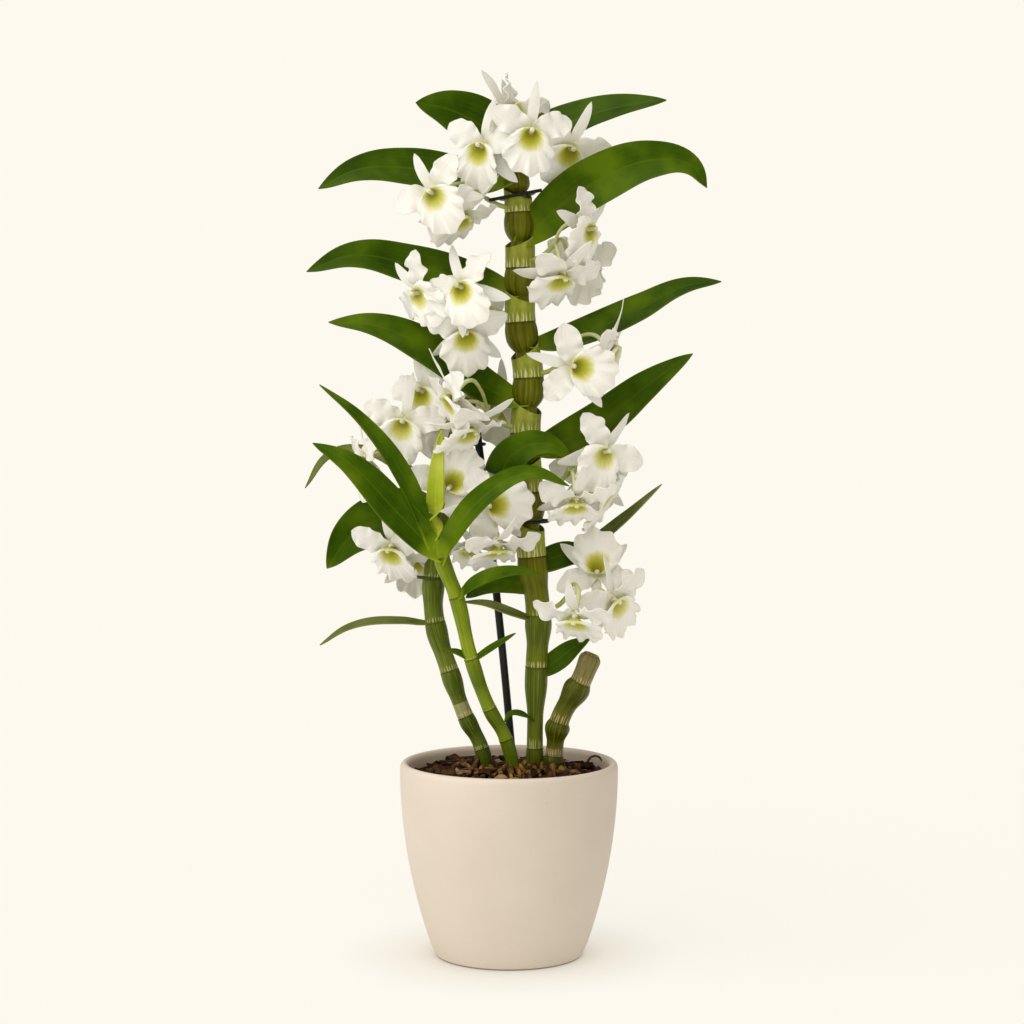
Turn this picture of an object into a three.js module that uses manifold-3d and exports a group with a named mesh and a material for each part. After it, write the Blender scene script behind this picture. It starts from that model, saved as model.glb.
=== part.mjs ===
// A dendrobium orchid of the nobile type in a ceramic pot: jointed canes with two ranks of strap leaves,
// short sprays of white flowers at the cane joints, two stakes with their ties, bark mix and the pot.
// Millimetres, +Z up. The origin is the middle of the pot's flat foot, and the front is towards -Y.
import * as THREE from "three";
import { mergeVertices } from "three/addons/utils/BufferGeometryUtils.js";
import Module from "manifold-3d";

const wasm = await Module();
wasm.setup();

// ---- Driving dimensions ----
const GAP = 0.3; // clearance between pieces that touch
const DEGREE = Math.PI / 180;

const POT_HEIGHT = 120;
const POT_RIM_RADIUS = 67.5;
const POT_FOOT_RADIUS = 46.3;
const POT_WALL = 5.5;
const POT_FLOOR = 7;
const POT_SIDES = 28;

const SOIL_TOP = 112;
const SOIL_RELIEF = 1.6; // how far the bark pieces rise and fall
const CANE_FOOT = 103; // the canes end in sockets of the root crown
const STAKE_FOOT = 90; // how deep the stakes reach into the bark
const ROOT_SIDES = 4;

const CANE_SIDES = 8;
const STAKE_RADIUS = 2.3;
const STAKE_SIDES = 6;
const TIE_RADIUS = 1;
const TIE_SIDES = 4;

const LEAF_THICKNESS = 1.4;
const LEAF_STATIONS = [0, 0.14, 0.3, 0.46, 0.62, 0.77, 0.9];
const NARROW_LEAF = 16; // leaves narrower than this need fewer stations
const NARROW_LEAF_STATIONS = [0, 0.18, 0.4, 0.64, 0.86];

const SEPAL = { length: 29, halfWidth: 4.6, fullest: 0.85, stations: [0.36, 0.72] };
const PETAL = { length: 26.5, halfWidth: 7.9, fullest: 1.1, stations: [0.28, 0.57, 0.84] };
const TEPAL_THICKNESS = 1.2;
const CUP_RADIUS = 2.6;
const LIP_RADIUS = 13.5;
const LIP_WALL = 0.9;
const STALK_RADIUS = 1.1;
const STALK_SIDES = 3;

// ---- Materials ----
function finish(color, roughness, metalness = 0) {
  return new THREE.MeshStandardMaterial({ color, roughness, metalness });
}

const ceramic = finish(0xe3d1bd, 0.7);
const bark = finish(0x4a2f1c, 0.95);
const rootSkin = finish(0xb08a4e, 0.8);
const caneGreen = finish(0x6c7a22, 0.45);
const oldCaneGreen = finish(0x55631f, 0.5);
const shootGreen = finish(0x8faf2c, 0.45);
const leafGreen = finish(0x3f6a1c, 0.35);
const youngLeafGreen = finish(0x7fa52a, 0.4);
const petalWhite = finish(0xf7f6ee, 0.6);
const blackPlastic = finish(0x1c1c1a, 0.5);

// ---- Shaping ----
const point = ([x, y, z]) => new THREE.Vector3(x, y, z);
const smooth = (points) => new THREE.CatmullRomCurve3(points.map(point), false, "centripetal");

// The faces between two rings of points; a ring of one point is a tip. Where flip is true the four-sided
// patch is split along its other diagonal, so that the two faces of a thin blade fold alike.
function band(from, to, flip = () => false) {
  const faces = [];
  const sides = Math.max(from.length, to.length);
  const at = (ring, j) => ring[j % ring.length];
  for (let j = 0; j < sides; j++) {
    const [a, b, c, d] = [at(from, j), at(from, j + 1), at(to, j), at(to, j + 1)];
    if (to.length === 1) faces.push(a, b, c);
    else if (from.length === 1) faces.push(a, d, c);
    else if (flip(j)) faces.push(a, b, c, b, d, c);
    else faces.push(a, b, d, a, d, c);
  }
  return faces;
}

// The flat faces that close a ring, spread from its second point.
function lid(ring) {
  const faces = [];
  for (let j = 2; j < ring.length; j++) faces.push(ring[1], ring[j], ring[(j + 1) % ring.length]);
  return faces;
}

function skin(faces) {
  const positions = faces.flatMap((p) => [p.x, p.y, p.z]);
  const attribute = new THREE.Float32BufferAttribute(positions, 3);
  return new THREE.BufferGeometry().setAttribute("position", attribute);
}

// A closed skin over a row of rings.
function loft(rings, flip) {
  const faces = [...lid(rings[0].toReversed()), ...lid(rings.at(-1))];
  for (let i = 0; i + 1 < rings.length; i++) faces.push(...band(rings[i], rings[i + 1], flip));
  return skin(faces);
}

// A closed geometry as a solid for joining and cutting.
function solid(geometry) {
  const bare = geometry.clone();
  bare.deleteAttribute("normal");
  bare.deleteAttribute("uv");
  const merged = mergeVertices(bare, 1e-4);
  const vertProperties = merged.attributes.position.array;
  const triVerts = new Uint32Array(merged.index.array);
  return new wasm.Manifold(new wasm.Mesh({ numProp: 3, vertProperties, triVerts }));
}

const join = (solids) => solids.reduce((all, one) => all.add(one));

// The largest body of a solid: what a cut leaves loose is dropped.
function largest(made) {
  return made.decompose().reduce((a, b) => (b.volume() > a.volume() ? b : a));
}

const group = new THREE.Group();

function add(name, made, material) {
  const { vertProperties, triVerts } = made.getMesh();
  const geometry = new THREE.BufferGeometry();
  geometry.setAttribute("position", new THREE.BufferAttribute(new Float32Array(vertProperties), 3));
  geometry.setIndex(new THREE.BufferAttribute(new Uint32Array(triVerts), 1));
  geometry.computeVertexNormals();
  const mesh = new THREE.Mesh(geometry, material);
  mesh.name = name;
  group.add(mesh);
}

// A ring of points round a place on a curve, square to it.
function ringRound(curve, t, radius, sides) {
  const centre = curve.getPoint(t);
  const along = curve.getTangent(t);
  const guide = Math.abs(along.y) > 0.9 ? new THREE.Vector3(1, 0, 0) : new THREE.Vector3(0, 1, 0);
  const across = guide.cross(along).normalize();
  const third = along.clone().cross(across);
  const ring = [];
  for (let j = 0; j < sides; j++) {
    const angle = (2 * Math.PI * j) / sides;
    const spoke = across.clone().multiplyScalar(Math.cos(angle)).addScaledVector(third, Math.sin(angle));
    ring.push(centre.clone().addScaledVector(spoke, radius));
  }
  return ring;
}

// A round stem of changing radius along a curve: radii is a list of [place from 0 to 1, radius].
function stem(curve, radii, sides) {
  return solid(loft(radii.map(([t, radius]) => ringRound(curve, t, radius, sides))));
}

// The stations of a thin blade along a curve. Each is a flat diamond: one edge, the top, the other edge,
// the underside; with a rim the edges are blunt. facing(t) is the way the upper face looks, hollow lifts
// both edges and wave lifts each of them on its own.
function bladeRings({ curve, stations, facing, halfWidth, thickness, hollow, wave, rim = 0 }) {
  return stations.map((t) => {
    const centre = curve.getPoint(t);
    const along = curve.getTangent(t);
    const across = along.clone().cross(facing(t)).normalize();
    const up = across.clone().cross(along).normalize();
    const place = (side, height) =>
      centre
        .clone()
        .addScaledVector(across, side * halfWidth(t))
        .addScaledVector(up, height);
    const edge = (side, blunt) => place(side, hollow(t) + (wave ? wave(t, side) : 0) + blunt);
    const [top, underside] = [place(0, thickness / 2), place(0, -thickness / 2)];
    if (rim === 0) return [edge(-1, 0), top, edge(1, 0), underside];
    return [edge(-1, rim), top, edge(1, rim), edge(1, -rim), underside, edge(-1, -rim)];
  });
}

// Steady small differences between repeats, from -1 to 1.
const vary = (number, aspect) => Math.sin(12.9 * number + 78.2 * aspect + 0.7 * number * aspect);

// ---- Pot: a thrown bowl with a rounded lip and a flat foot, turned as one closed profile ----
const POT_OUTSIDE = [
  [POT_FOOT_RADIUS, 0],
  [POT_FOOT_RADIUS + 1.4, 1.6],
  [53.6, 22],
  [60.3, 48],
  [65.2, 82],
  [POT_RIM_RADIUS, POT_HEIGHT - 4],
];
const POT_INSIDE = [
  [POT_FOOT_RADIUS - POT_WALL, POT_FLOOR],
  ...POT_OUTSIDE.slice(2).map(([radius, z]) => [radius - POT_WALL, z]),
];

function lathe(profile) {
  const outline = profile.map(([radius, z]) => new THREE.Vector2(radius, z));
  return solid(new THREE.LatheGeometry(outline, POT_SIDES).rotateX(Math.PI / 2));
}

const lipMiddle = POT_RIM_RADIUS - POT_WALL / 2;
add(
  "pot",
  lathe([
    [0, 0],
    ...POT_OUTSIDE,
    [lipMiddle + 0.65 * (POT_WALL / 2), POT_HEIGHT - 1],
    [lipMiddle, POT_HEIGHT],
    [lipMiddle - 0.65 * (POT_WALL / 2), POT_HEIGHT - 1],
    ...POT_INSIDE.toReversed(),
    [0, POT_FLOOR],
  ]),
  ceramic,
);

// ---- Canes: [x, y, z, radius] at each joint, from the foot in the bark to the tip ----
const CANES = {
  main_cane: {
    material: caneGreen,
    swelling: 1.08,
    joints: [
      [16, 2, CANE_FOOT, 4.6],
      [16, 2, 128, 5],
      [17, 0, 179, 6.2],
      [18, 0, 211, 7.2],
      [14, 0, 247, 8.6],
      [12, 0, 287, 9],
      [10, 0, 323, 9.2],
      [12, 0, 357, 9.2],
      [7, 0, 391, 9.2],
      [7, 0, 424, 9],
      [6, 0, 458, 8.4],
      [4, 0, 482, 6.6],
      [1, 0, 493, 4],
    ],
  },
  old_cane: {
    material: oldCaneGreen,
    swelling: 1.06,
    joints: [
      [-14, 3, CANE_FOOT, 4.2],
      [-17, 5, 127, 4.8],
      [-27, 6, 147, 5.2],
      [-37, 9, 175, 6],
      [-46, 12, 205, 6.4],
      [-47, 14, 232, 6.6],
      [-44, 16, 262, 6.6],
      [-39, 18, 294, 6.4],
      [-30, 20, 325, 5.8],
      [-24, 20, 344, 3.6],
    ],
  },
  new_shoot: {
    material: shootGreen,
    swelling: 1.03,
    joints: [
      [4, -11, CANE_FOOT, 3.9],
      [-2, -14, 136, 4.3],
      [-12, -16, 155, 4.4],
      [-23, -18, 186, 4.5],
      [-32, -20, 224, 4.8],
      [-41, -21, 248, 5],
      [-43, -21, 260, 3.2],
    ],
  },
  cut_cane: {
    material: caneGreen,
    swelling: 1.2,
    joints: [
      [27, -2, CANE_FOOT, 4.4],
      [28, -2, 124, 5.4],
      [31, -3, 145, 6.2],
      [44, -5, 170, 6.6],
      [51, -6, 187, 4.9],
    ],
  },
};

// Between two joints a cane is drawn in under its leaf sheath and swells again below the next joint.
function cane({ joints, swelling }, grow = 0) {
  const spans = joints.length - 1;
  const radii = [];
  joints.forEach(([, , , radius], i) => {
    radii.push([i / spans, radius + grow]);
    if (i === spans) return;
    const next = joints[i + 1][3];
    radii.push([(i + 0.14) / spans, 0.88 * radius + grow]);
    radii.push([(i + 0.78) / spans, swelling * (0.3 * radius + 0.7 * next) + grow]);
  });
  return stem(smooth(joints), radii, CANE_SIDES);
}

// ---- Stakes, and the wire ties that hold the canes to them ----
const STAKES = {
  stake_main: [
    [17, 12.2, STAKE_FOOT],
    [10, 12.6, 300],
    [6, 12.2, 476],
  ],
  stake_side: [
    [5, 13, STAKE_FOOT],
    [-8, 13, 225],
    [-20, 12.6, 326],
  ],
};

function rod(route, radius, sides, steps) {
  const section = new THREE.Shape();
  for (let j = 0; j < sides; j++) {
    const angle = (2 * Math.PI * j) / sides;
    const corner = [radius * Math.cos(angle), radius * Math.sin(angle)];
    if (j === 0) section.moveTo(...corner);
    else section.lineTo(...corner);
  }
  return solid(new THREE.ExtrudeGeometry(section, { steps, extrudePath: route, bevelEnabled: false }));
}

const stake = (points, grow = 0) => rod(smooth(points), STAKE_RADIUS + grow, STAKE_SIDES, 4);

// A tie is a wire laid round a row of stems, each given as [x, y, radius], with straight ends sticking out.
function tie({ z, slope = 0, round, tails }) {
  const reach = GAP + 1.4 * TIE_RADIUS;
  const middle = round.reduce((sum, [x, y]) => [sum[0] + x / round.length, sum[1] + y / round.length], [0, 0]);
  const loop = [];
  const turns = 12;
  for (let j = 0; j < turns; j++) {
    const angle = (2 * Math.PI * j) / turns;
    const [outX, outY] = [Math.cos(angle), Math.sin(angle)];
    const support = (stemX, stemY, radius) => outX * stemX + outY * stemY + radius;
    const [x, y, radius] = round.reduce((a, b) => (support(...b) > support(...a) ? b : a));
    const spot = [x + outX * (radius + reach), y + outY * (radius + reach)];
    loop.push(new THREE.Vector3(spot[0], spot[1], z + slope * (spot[0] - middle[0])));
  }
  const ring = new THREE.CatmullRomCurve3(loop, true, "centripetal");
  const wires = [rod(ring, TIE_RADIUS, TIE_SIDES, turns)];
  for (const tail of tails) wires.push(rod(smooth(tail), TIE_RADIUS, TIE_SIDES, 2));
  return join(wires);
}

const TIES = {
  tie_top: {
    z: 468,
    slope: 0.19,
    round: [
      [5.2, 0, 8.9],
      [6, 12.2, STAKE_RADIUS],
    ],
    tails: [[[-12, -10.2, 464.7], [4, -10.2, 467.8], [20, -10.2, 470.8]]],
  },
  tie_middle: {
    z: 269,
    round: [
      [13, 0, 9.8],
      [11, 13, STAKE_RADIUS],
    ],
    tails: [[[18, -9.8, 269], [24, -8, 270], [29, -5, 271]]],
  },
  tie_old_top: {
    z: 316,
    round: [
      [-32.7, 19.6, 6.9],
      [-18.8, 12.6, STAKE_RADIUS],
    ],
    tails: [],
  },
  tie_old_low: {
    z: 233,
    round: [[-47, 14, 7]],
    tails: [[[-49, 5.9, 233], [-53, 5.7, 233.5], [-57, 5.4, 234]]],
  },
};

// ---- Root crown: the short rhizome that joins the canes, with roots that creep over the bark ----
const CROWN = {
  rhizome: [
    [-20, 5, 108],
    [-6, -3, 108],
    [6, -9, 108],
    [17, 0, 108],
    [34, -2, 108],
  ],
  radius: 8.5,
  roots: [
    [[-16, -2, 111], [-22, -10, 115.5], [-31, -20, 108]],
    [[-9, -3, 113], [-14, -15, 116], [-19, -27, 108]],
    [[-3, -6, 113], [-5, -20, 116], [-6, -33, 108]],
    [[11, -7, 113], [12, -20, 116], [14, -32, 108]],
    [[19, -4, 113], [24, -17, 116], [29, -29, 108]],
    [[33, -5, 110], [41, -14, 115.5], [48, -23, 108]],
    [[33, 1, 110], [41, 12, 115.5], [47, 22, 108]],
    [[-19, 8, 110], [-30, 16, 115.5], [-39, 26, 108]],
  ],
  rootRadius: 1.7,
};

function crown(grow = 0) {
  const { rhizome, radius, roots, rootRadius } = CROWN;
  const thickness = [
    [0, 0.75 * radius + grow],
    [0.1, radius + grow],
    [0.35, 0.94 * radius + grow],
    [0.65, radius + grow],
    [0.9, 0.94 * radius + grow],
    [1, 0.75 * radius + grow],
  ];
  const rootTaper = [
    [0, rootRadius + grow],
    [0.35, 0.9 * rootRadius + grow],
    [0.7, 0.8 * rootRadius + grow],
    [1, 0.6 * rootRadius + grow],
  ];
  return join([
    stem(smooth(rhizome), thickness, CANE_SIDES),
    ...roots.map((root) => stem(smooth(root), rootTaper, ROOT_SIDES)),
  ]);
}

// ---- Soil: bark mix that fills the pot, its top uneven with the lie of the bark pieces ----
function soil() {
  const circle = (radius, height) => {
    const ring = [];
    for (let j = 0; j < POT_SIDES; j++) {
      const angle = (2 * Math.PI * j) / POT_SIDES;
      ring.push(new THREE.Vector3(radius * Math.sin(angle), radius * Math.cos(angle), height(j)));
    }
    return ring.toReversed();
  };
  const side = POT_INSIDE.filter(([, z]) => z < SOIL_TOP - SOIL_RELIEF);
  const rings = side.map(([radius, z]) => circle(radius - GAP, () => z));
  rings[0].forEach((p) => p.setZ(POT_FLOOR + GAP));
  const [, below] = side.at(-1);
  const wallSlope = (POT_INSIDE.at(-1)[0] - side.at(-1)[0]) / (POT_INSIDE.at(-1)[1] - below);
  const topRadius = side.at(-1)[0] + wallSlope * (SOIL_TOP - below) - GAP;
  rings.push(circle(topRadius, () => SOIL_TOP - 1));
  for (const share of [0.8, 0.52, 0.24]) {
    rings.push(circle(topRadius * share, (j) => SOIL_TOP + SOIL_RELIEF * vary(j + 1, 10 * share)));
  }
  rings.push([new THREE.Vector3(0, 0, SOIL_TOP)]);
  return solid(loft(rings));
}

// ---- Leaves: the midrib from the cane to the tip, the full width, and how far the blade leans from
// lying flat (0) towards facing the front (90), at its foot and at its tip ----
const LEAVES = {
  leaf_main_01: {
    rib: [[3, 1, 486], [-12, 6, 507], [-34, 5, 520], [-57, 2, 525]],
    width: 33,
    lean: [78, 78],
  },
  leaf_main_02: {
    rib: [[3, 3, 485], [15, 18, 503], [33, 25, 513], [62, 23, 523], [97, 16, 528]],
    width: 30,
    lean: [50, 42],
  },
  leaf_main_03: {
    rib: [[4, 0, 474], [-30, 5, 480], [-60, 3, 485], [-91, -2, 484], [-116, -6, 472]],
    width: 28,
    lean: [58, 62],
  },
  leaf_main_04: {
    rib: [[7, 0, 438], [28, -7, 459], [55, -11, 477], [88, -11, 489], [110, -11, 486], [120, -12, 472]],
    width: 31,
    lean: [80, 70],
  },
  leaf_main_05: {
    rib: [[7, 0, 405], [-20, 5, 415], [-60, 8, 426], [-95, 4, 432], [-124, 0, 422]],
    width: 28,
    lean: [56, 64],
  },
  leaf_main_06: {
    rib: [[10, 0, 373], [48, 5, 385], [80, 6, 399], [108, 3, 413], [130, 0, 416]],
    width: 25,
    lean: [38, 45],
  },
  leaf_main_07: {
    rib: [[11, 0, 339], [-14, -3, 351], [-50, -7, 375], [-82, -8, 389], [-110, -8, 391]],
    width: 27,
    lean: [54, 54],
  },
  leaf_main_08: {
    rib: [[11, 2, 309], [36, 7, 319], [60, 9, 332], [85, 8, 352], [113, 4, 372]],
    width: 27,
    lean: [60, 50],
  },
  leaf_main_09: {
    rib: [[12, -2, 274], [2, -14, 284], [-4, -18, 299], [8, -27, 315], [25, -31, 317], [38, -31, 308]],
    width: 22,
    lean: [72, 72],
  },
  leaf_main_10: {
    rib: [[15, 3, 235], [42, 16, 247], [70, 19, 268], [95, 16, 291]],
    width: 10,
    lean: [40, 35],
  },
  leaf_main_11: {
    rib: [[16, 1, 226], [2, 3, 231], [-12, 5, 230], [-27, 5, 221]],
    width: 15,
    lean: [72, 72],
  },
  leaf_main_12: {
    rib: [[14, 2, 240], [28, 4, 246], [41, 7, 248], [54, 10, 240]],
    width: 17,
    lean: [66, 60],
  },
  leaf_main_13: {
    rib: [[17, 0, 207], [0, -9, 214], [-14, -10, 219], [-28, -10, 220]],
    width: 7,
    lean: [40, 40],
  },
  leaf_main_14: {
    rib: [[17, 0, 174], [30, -1, 183], [40, -2, 191], [50, -4, 197]],
    width: 14,
    lean: [62, 62],
  },
  leaf_main_15: {
    rib: [[16, 2, 143], [9, -8, 150], [1, -10, 151], [-3, -13, 146]],
    width: 6,
    lean: [30, 30],
  },
  leaf_shoot_1: {
    rib: [[-42, -22, 252], [-33, -42, 268], [-11, -52, 290], [13, -54, 301], [36, -50, 293]],
    width: 17,
    lean: [60, 56],
  },
  leaf_shoot_2: {
    rib: [[-45, -17, 256], [-45.5, -19, 280], [-44, -21, 304], [-41, -22, 326]],
    width: 11,
    lean: [75, 75],
  },
  leaf_shoot_3: {
    rib: [[-45, -23, 252], [-64, -31, 299], [-88, -32, 331], [-114, -28, 353]],
    width: 16,
    lean: [66, 25],
  },
  leaf_shoot_4: {
    rib: [[-41, -22, 247], [-69, -34, 278], [-96, -36, 306], [-118, -32, 318]],
    width: 24,
    lean: [72, 45],
  },
  leaf_shoot_5: {
    rib: [[-32, -20, 222], [-20, -31, 234], [0, -36, 241], [19, -36, 240]],
    width: 9.5,
    lean: [50, 50],
  },
  leaf_shoot_6: {
    rib: [[-23, -18, 184], [-12, -20, 192], [4, -21, 202]],
    width: 5,
    lean: [40, 40],
  },
  leaf_shoot_7: {
    rib: [[-23, -18, 185], [-31, -20, 190], [-38, -20, 192]],
    width: 5,
    lean: [40, 40],
  },
  leaf_old_1: {
    rib: [[-40, 18, 288], [-66, 30, 300], [-90, 35, 311], [-112, 32, 309], [-128, 28, 288]],
    width: 10,
    lean: [34, 34],
  },
  leaf_old_2: {
    rib: [[-42, 17, 276], [-74, 26, 271], [-98, 26, 259], [-114, 20, 238]],
    width: 32,
    lean: [82, 82],
  },
  leaf_old_3: {
    rib: [[-46, 12, 203], [-68, 9, 206], [-98, 5, 203], [-117, 2, 192]],
    width: 10,
    lean: [20, 20],
  },
};

// The share of its full half width that a leaf has along its length: a clasping foot, the fullest part
// before the middle, a drawn-out tip.
const leafOutline = (t) => Math.sin(Math.PI * (0.06 + 0.94 * t) ** 0.86) ** 0.72;

function leaf({ rib, width, lean }, grow = 0) {
  const facing = (t) => {
    const angle = (lean[0] + (lean[1] - lean[0]) * t) * DEGREE;
    return new THREE.Vector3(0, -Math.sin(angle), Math.cos(angle));
  };
  const curve = smooth(rib);
  const rings = bladeRings({
    curve,
    stations: width < NARROW_LEAF ? NARROW_LEAF_STATIONS : LEAF_STATIONS,
    facing,
    halfWidth: (t) => (width / 2) * leafOutline(t) + grow,
    thickness: LEAF_THICKNESS + 3 * grow,
    hollow: (t) => 0.09 * width * leafOutline(t),
    rim: 1.5 * grow,
  });
  const half = rings[0].length / 2;
  const tip = curve.getPoint(1).addScaledVector(curve.getTangent(1), 3 * grow);
  return solid(loft([...rings, [tip]], (j) => j >= half));
}

// ---- Flowers ----
// The stations of one sepal or petal that lies out from the flower's middle and curls back at its tip.
function tepalRings(form, angle, cup, curl) {
  const outward = new THREE.Vector3(Math.cos(angle), Math.sin(angle), 0);
  const route = [0.05, 0.35, 0.7, 1].map((share) => {
    const lift = cup * Math.sin(Math.PI * share) - curl * share * share;
    return outward.clone().multiplyScalar(form.length * share).setZ(lift);
  });
  const curve = new THREE.CatmullRomCurve3(route, false, "centripetal");
  const outline = (t) => Math.sin(Math.PI * (0.05 + 0.95 * t) ** form.fullest) ** 0.8;
  const rings = bladeRings({
    curve,
    stations: form.stations,
    facing: () => new THREE.Vector3(0, 0, 1),
    halfWidth: (t) => form.halfWidth * outline(t),
    thickness: TEPAL_THICKNESS,
    hollow: (t) => 0.12 * form.halfWidth * outline(t),
    wave: (t, side) => 0.12 * form.halfWidth * Math.sin(9 * t + 1.5 * side) * t,
  });
  return [...rings, [curve.getPoint(1)]];
}

// One flower in a single skin, looking along +Z with its top sepal towards +Y. Five sepals and petals
// stand round a small cup; the cup opens forward into the lip, a funnel with a round, ruffled brim.
function flower(number) {
  const swing = (aspect) => 7 * DEGREE * vary(number, aspect);
  const tepals = [
    { form: PETAL, angle: 20 * DEGREE + swing(1), cup: 2, curl: 2 + 3 * vary(number, 2) },
    { form: SEPAL, angle: 90 * DEGREE + swing(3), cup: 1, curl: 5 + 3 * vary(number, 4) },
    { form: PETAL, angle: 160 * DEGREE + swing(5), cup: 2, curl: 2 + 3 * vary(number, 6) },
    { form: SEPAL, angle: 226 * DEGREE + swing(7), cup: 1, curl: 5 + 3 * vary(number, 8) },
    { form: SEPAL, angle: 314 * DEGREE + swing(9), cup: 1, curl: 5 + 3 * vary(number, 10) },
  ];
  const onCup = (angle, height) =>
    new THREE.Vector3(CUP_RADIUS * Math.cos(angle), CUP_RADIUS * Math.sin(angle), height);
  const count = tepals.length;
  const after = (i) => tepals[(i + 1) % count].angle + (i + 1 === count ? 2 * Math.PI : 0);
  const notches = tepals.map(({ angle }, i) => onCup((angle + after(i)) / 2, 0));
  const tops = tepals.map(({ angle }) => onCup(angle, TEPAL_THICKNESS));
  const backs = tepals.map(({ angle }) => onCup(angle, -TEPAL_THICKNESS));
  const faces = [];
  tepals.forEach(({ form, angle, cup, curl }, i) => {
    const root = [notches[i], tops[i], notches[(i + count - 1) % count], backs[i]];
    const rings = [root, ...tepalRings(form, angle, cup, curl)];
    for (let k = 0; k + 1 < rings.length; k++) faces.push(...band(rings[k], rings[k + 1], (j) => j > 1));
  });
  const lipSides = 2 * count;
  const lipRing = (middle, radius, height, ruffle) => {
    const ring = [];
    for (let j = 0; j < lipSides; j++) {
      const angle = tepals[0].angle + (2 * Math.PI * j) / lipSides;
      const lift = j % 2 ? ruffle : -ruffle;
      ring.push(new THREE.Vector3(radius * Math.cos(angle), middle + radius * Math.sin(angle), height + lift));
    }
    return ring;
  };
  const throat = 0.5 * LIP_RADIUS;
  const cupFront = notches.flatMap((notch, i) => [tops[i], notch]);
  const cupBack = notches.flatMap((notch, i) => [backs[i], notch]);
  const throatBack = lipRing(-4, throat + LIP_WALL / 2, 8 - LIP_WALL, 0.4);
  const brim = lipRing(-8, LIP_RADIUS, 9, 1.7);
  const throatFront = lipRing(-4, throat, 8, 0.4);
  faces.push(
    ...band([new THREE.Vector3(0, 0, -4)], cupBack),
    ...band(cupFront, throatBack),
    ...band(throatBack, brim),
    ...band(brim, throatFront, () => true),
    ...band(throatFront, [new THREE.Vector3(0, -1, 2.5)]),
  );
  return skin(faces);
}

// Where a flower stands: turn is its compass angle from facing the front, tilt its lift above level and
// roll the lean of its top sepal to the right as seen from in front of it.
function stance({ at, turn, tilt, roll = 0 }) {
  const facing = new THREE.Vector3(
    Math.sin(turn * DEGREE) * Math.cos(tilt * DEGREE),
    -Math.cos(turn * DEGREE) * Math.cos(tilt * DEGREE),
    Math.sin(tilt * DEGREE),
  );
  const right = new THREE.Vector3(0, 0, 1).cross(facing).normalize();
  const up = facing.clone().cross(right);
  const top = up.multiplyScalar(Math.cos(roll * DEGREE)).addScaledVector(right, Math.sin(roll * DEGREE));
  const side = top.clone().cross(facing);
  return { facing, place: new THREE.Matrix4().makeBasis(side, top, facing).setPosition(...at) };
}

// A flower stalk: it rises from the spray's stub, arches over and comes into the flower from behind.
function flowerStalk(start, { at }, facing) {
  const end = point(at);
  const behind = end.clone().addScaledVector(facing, -12);
  behind.z += 1.5;
  const crest = start.clone().lerp(behind, 0.5);
  crest.z += 0.22 * start.distanceTo(behind);
  const curve = new THREE.CatmullRomCurve3([start, crest, behind, end], false, "centripetal");
  const radii = [
    [0, STALK_RADIUS],
    [0.34, STALK_RADIUS],
    [0.7, STALK_RADIUS],
    [0.97, 1.5 * STALK_RADIUS],
  ];
  return stem(curve, radii, STALK_SIDES);
}

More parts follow.
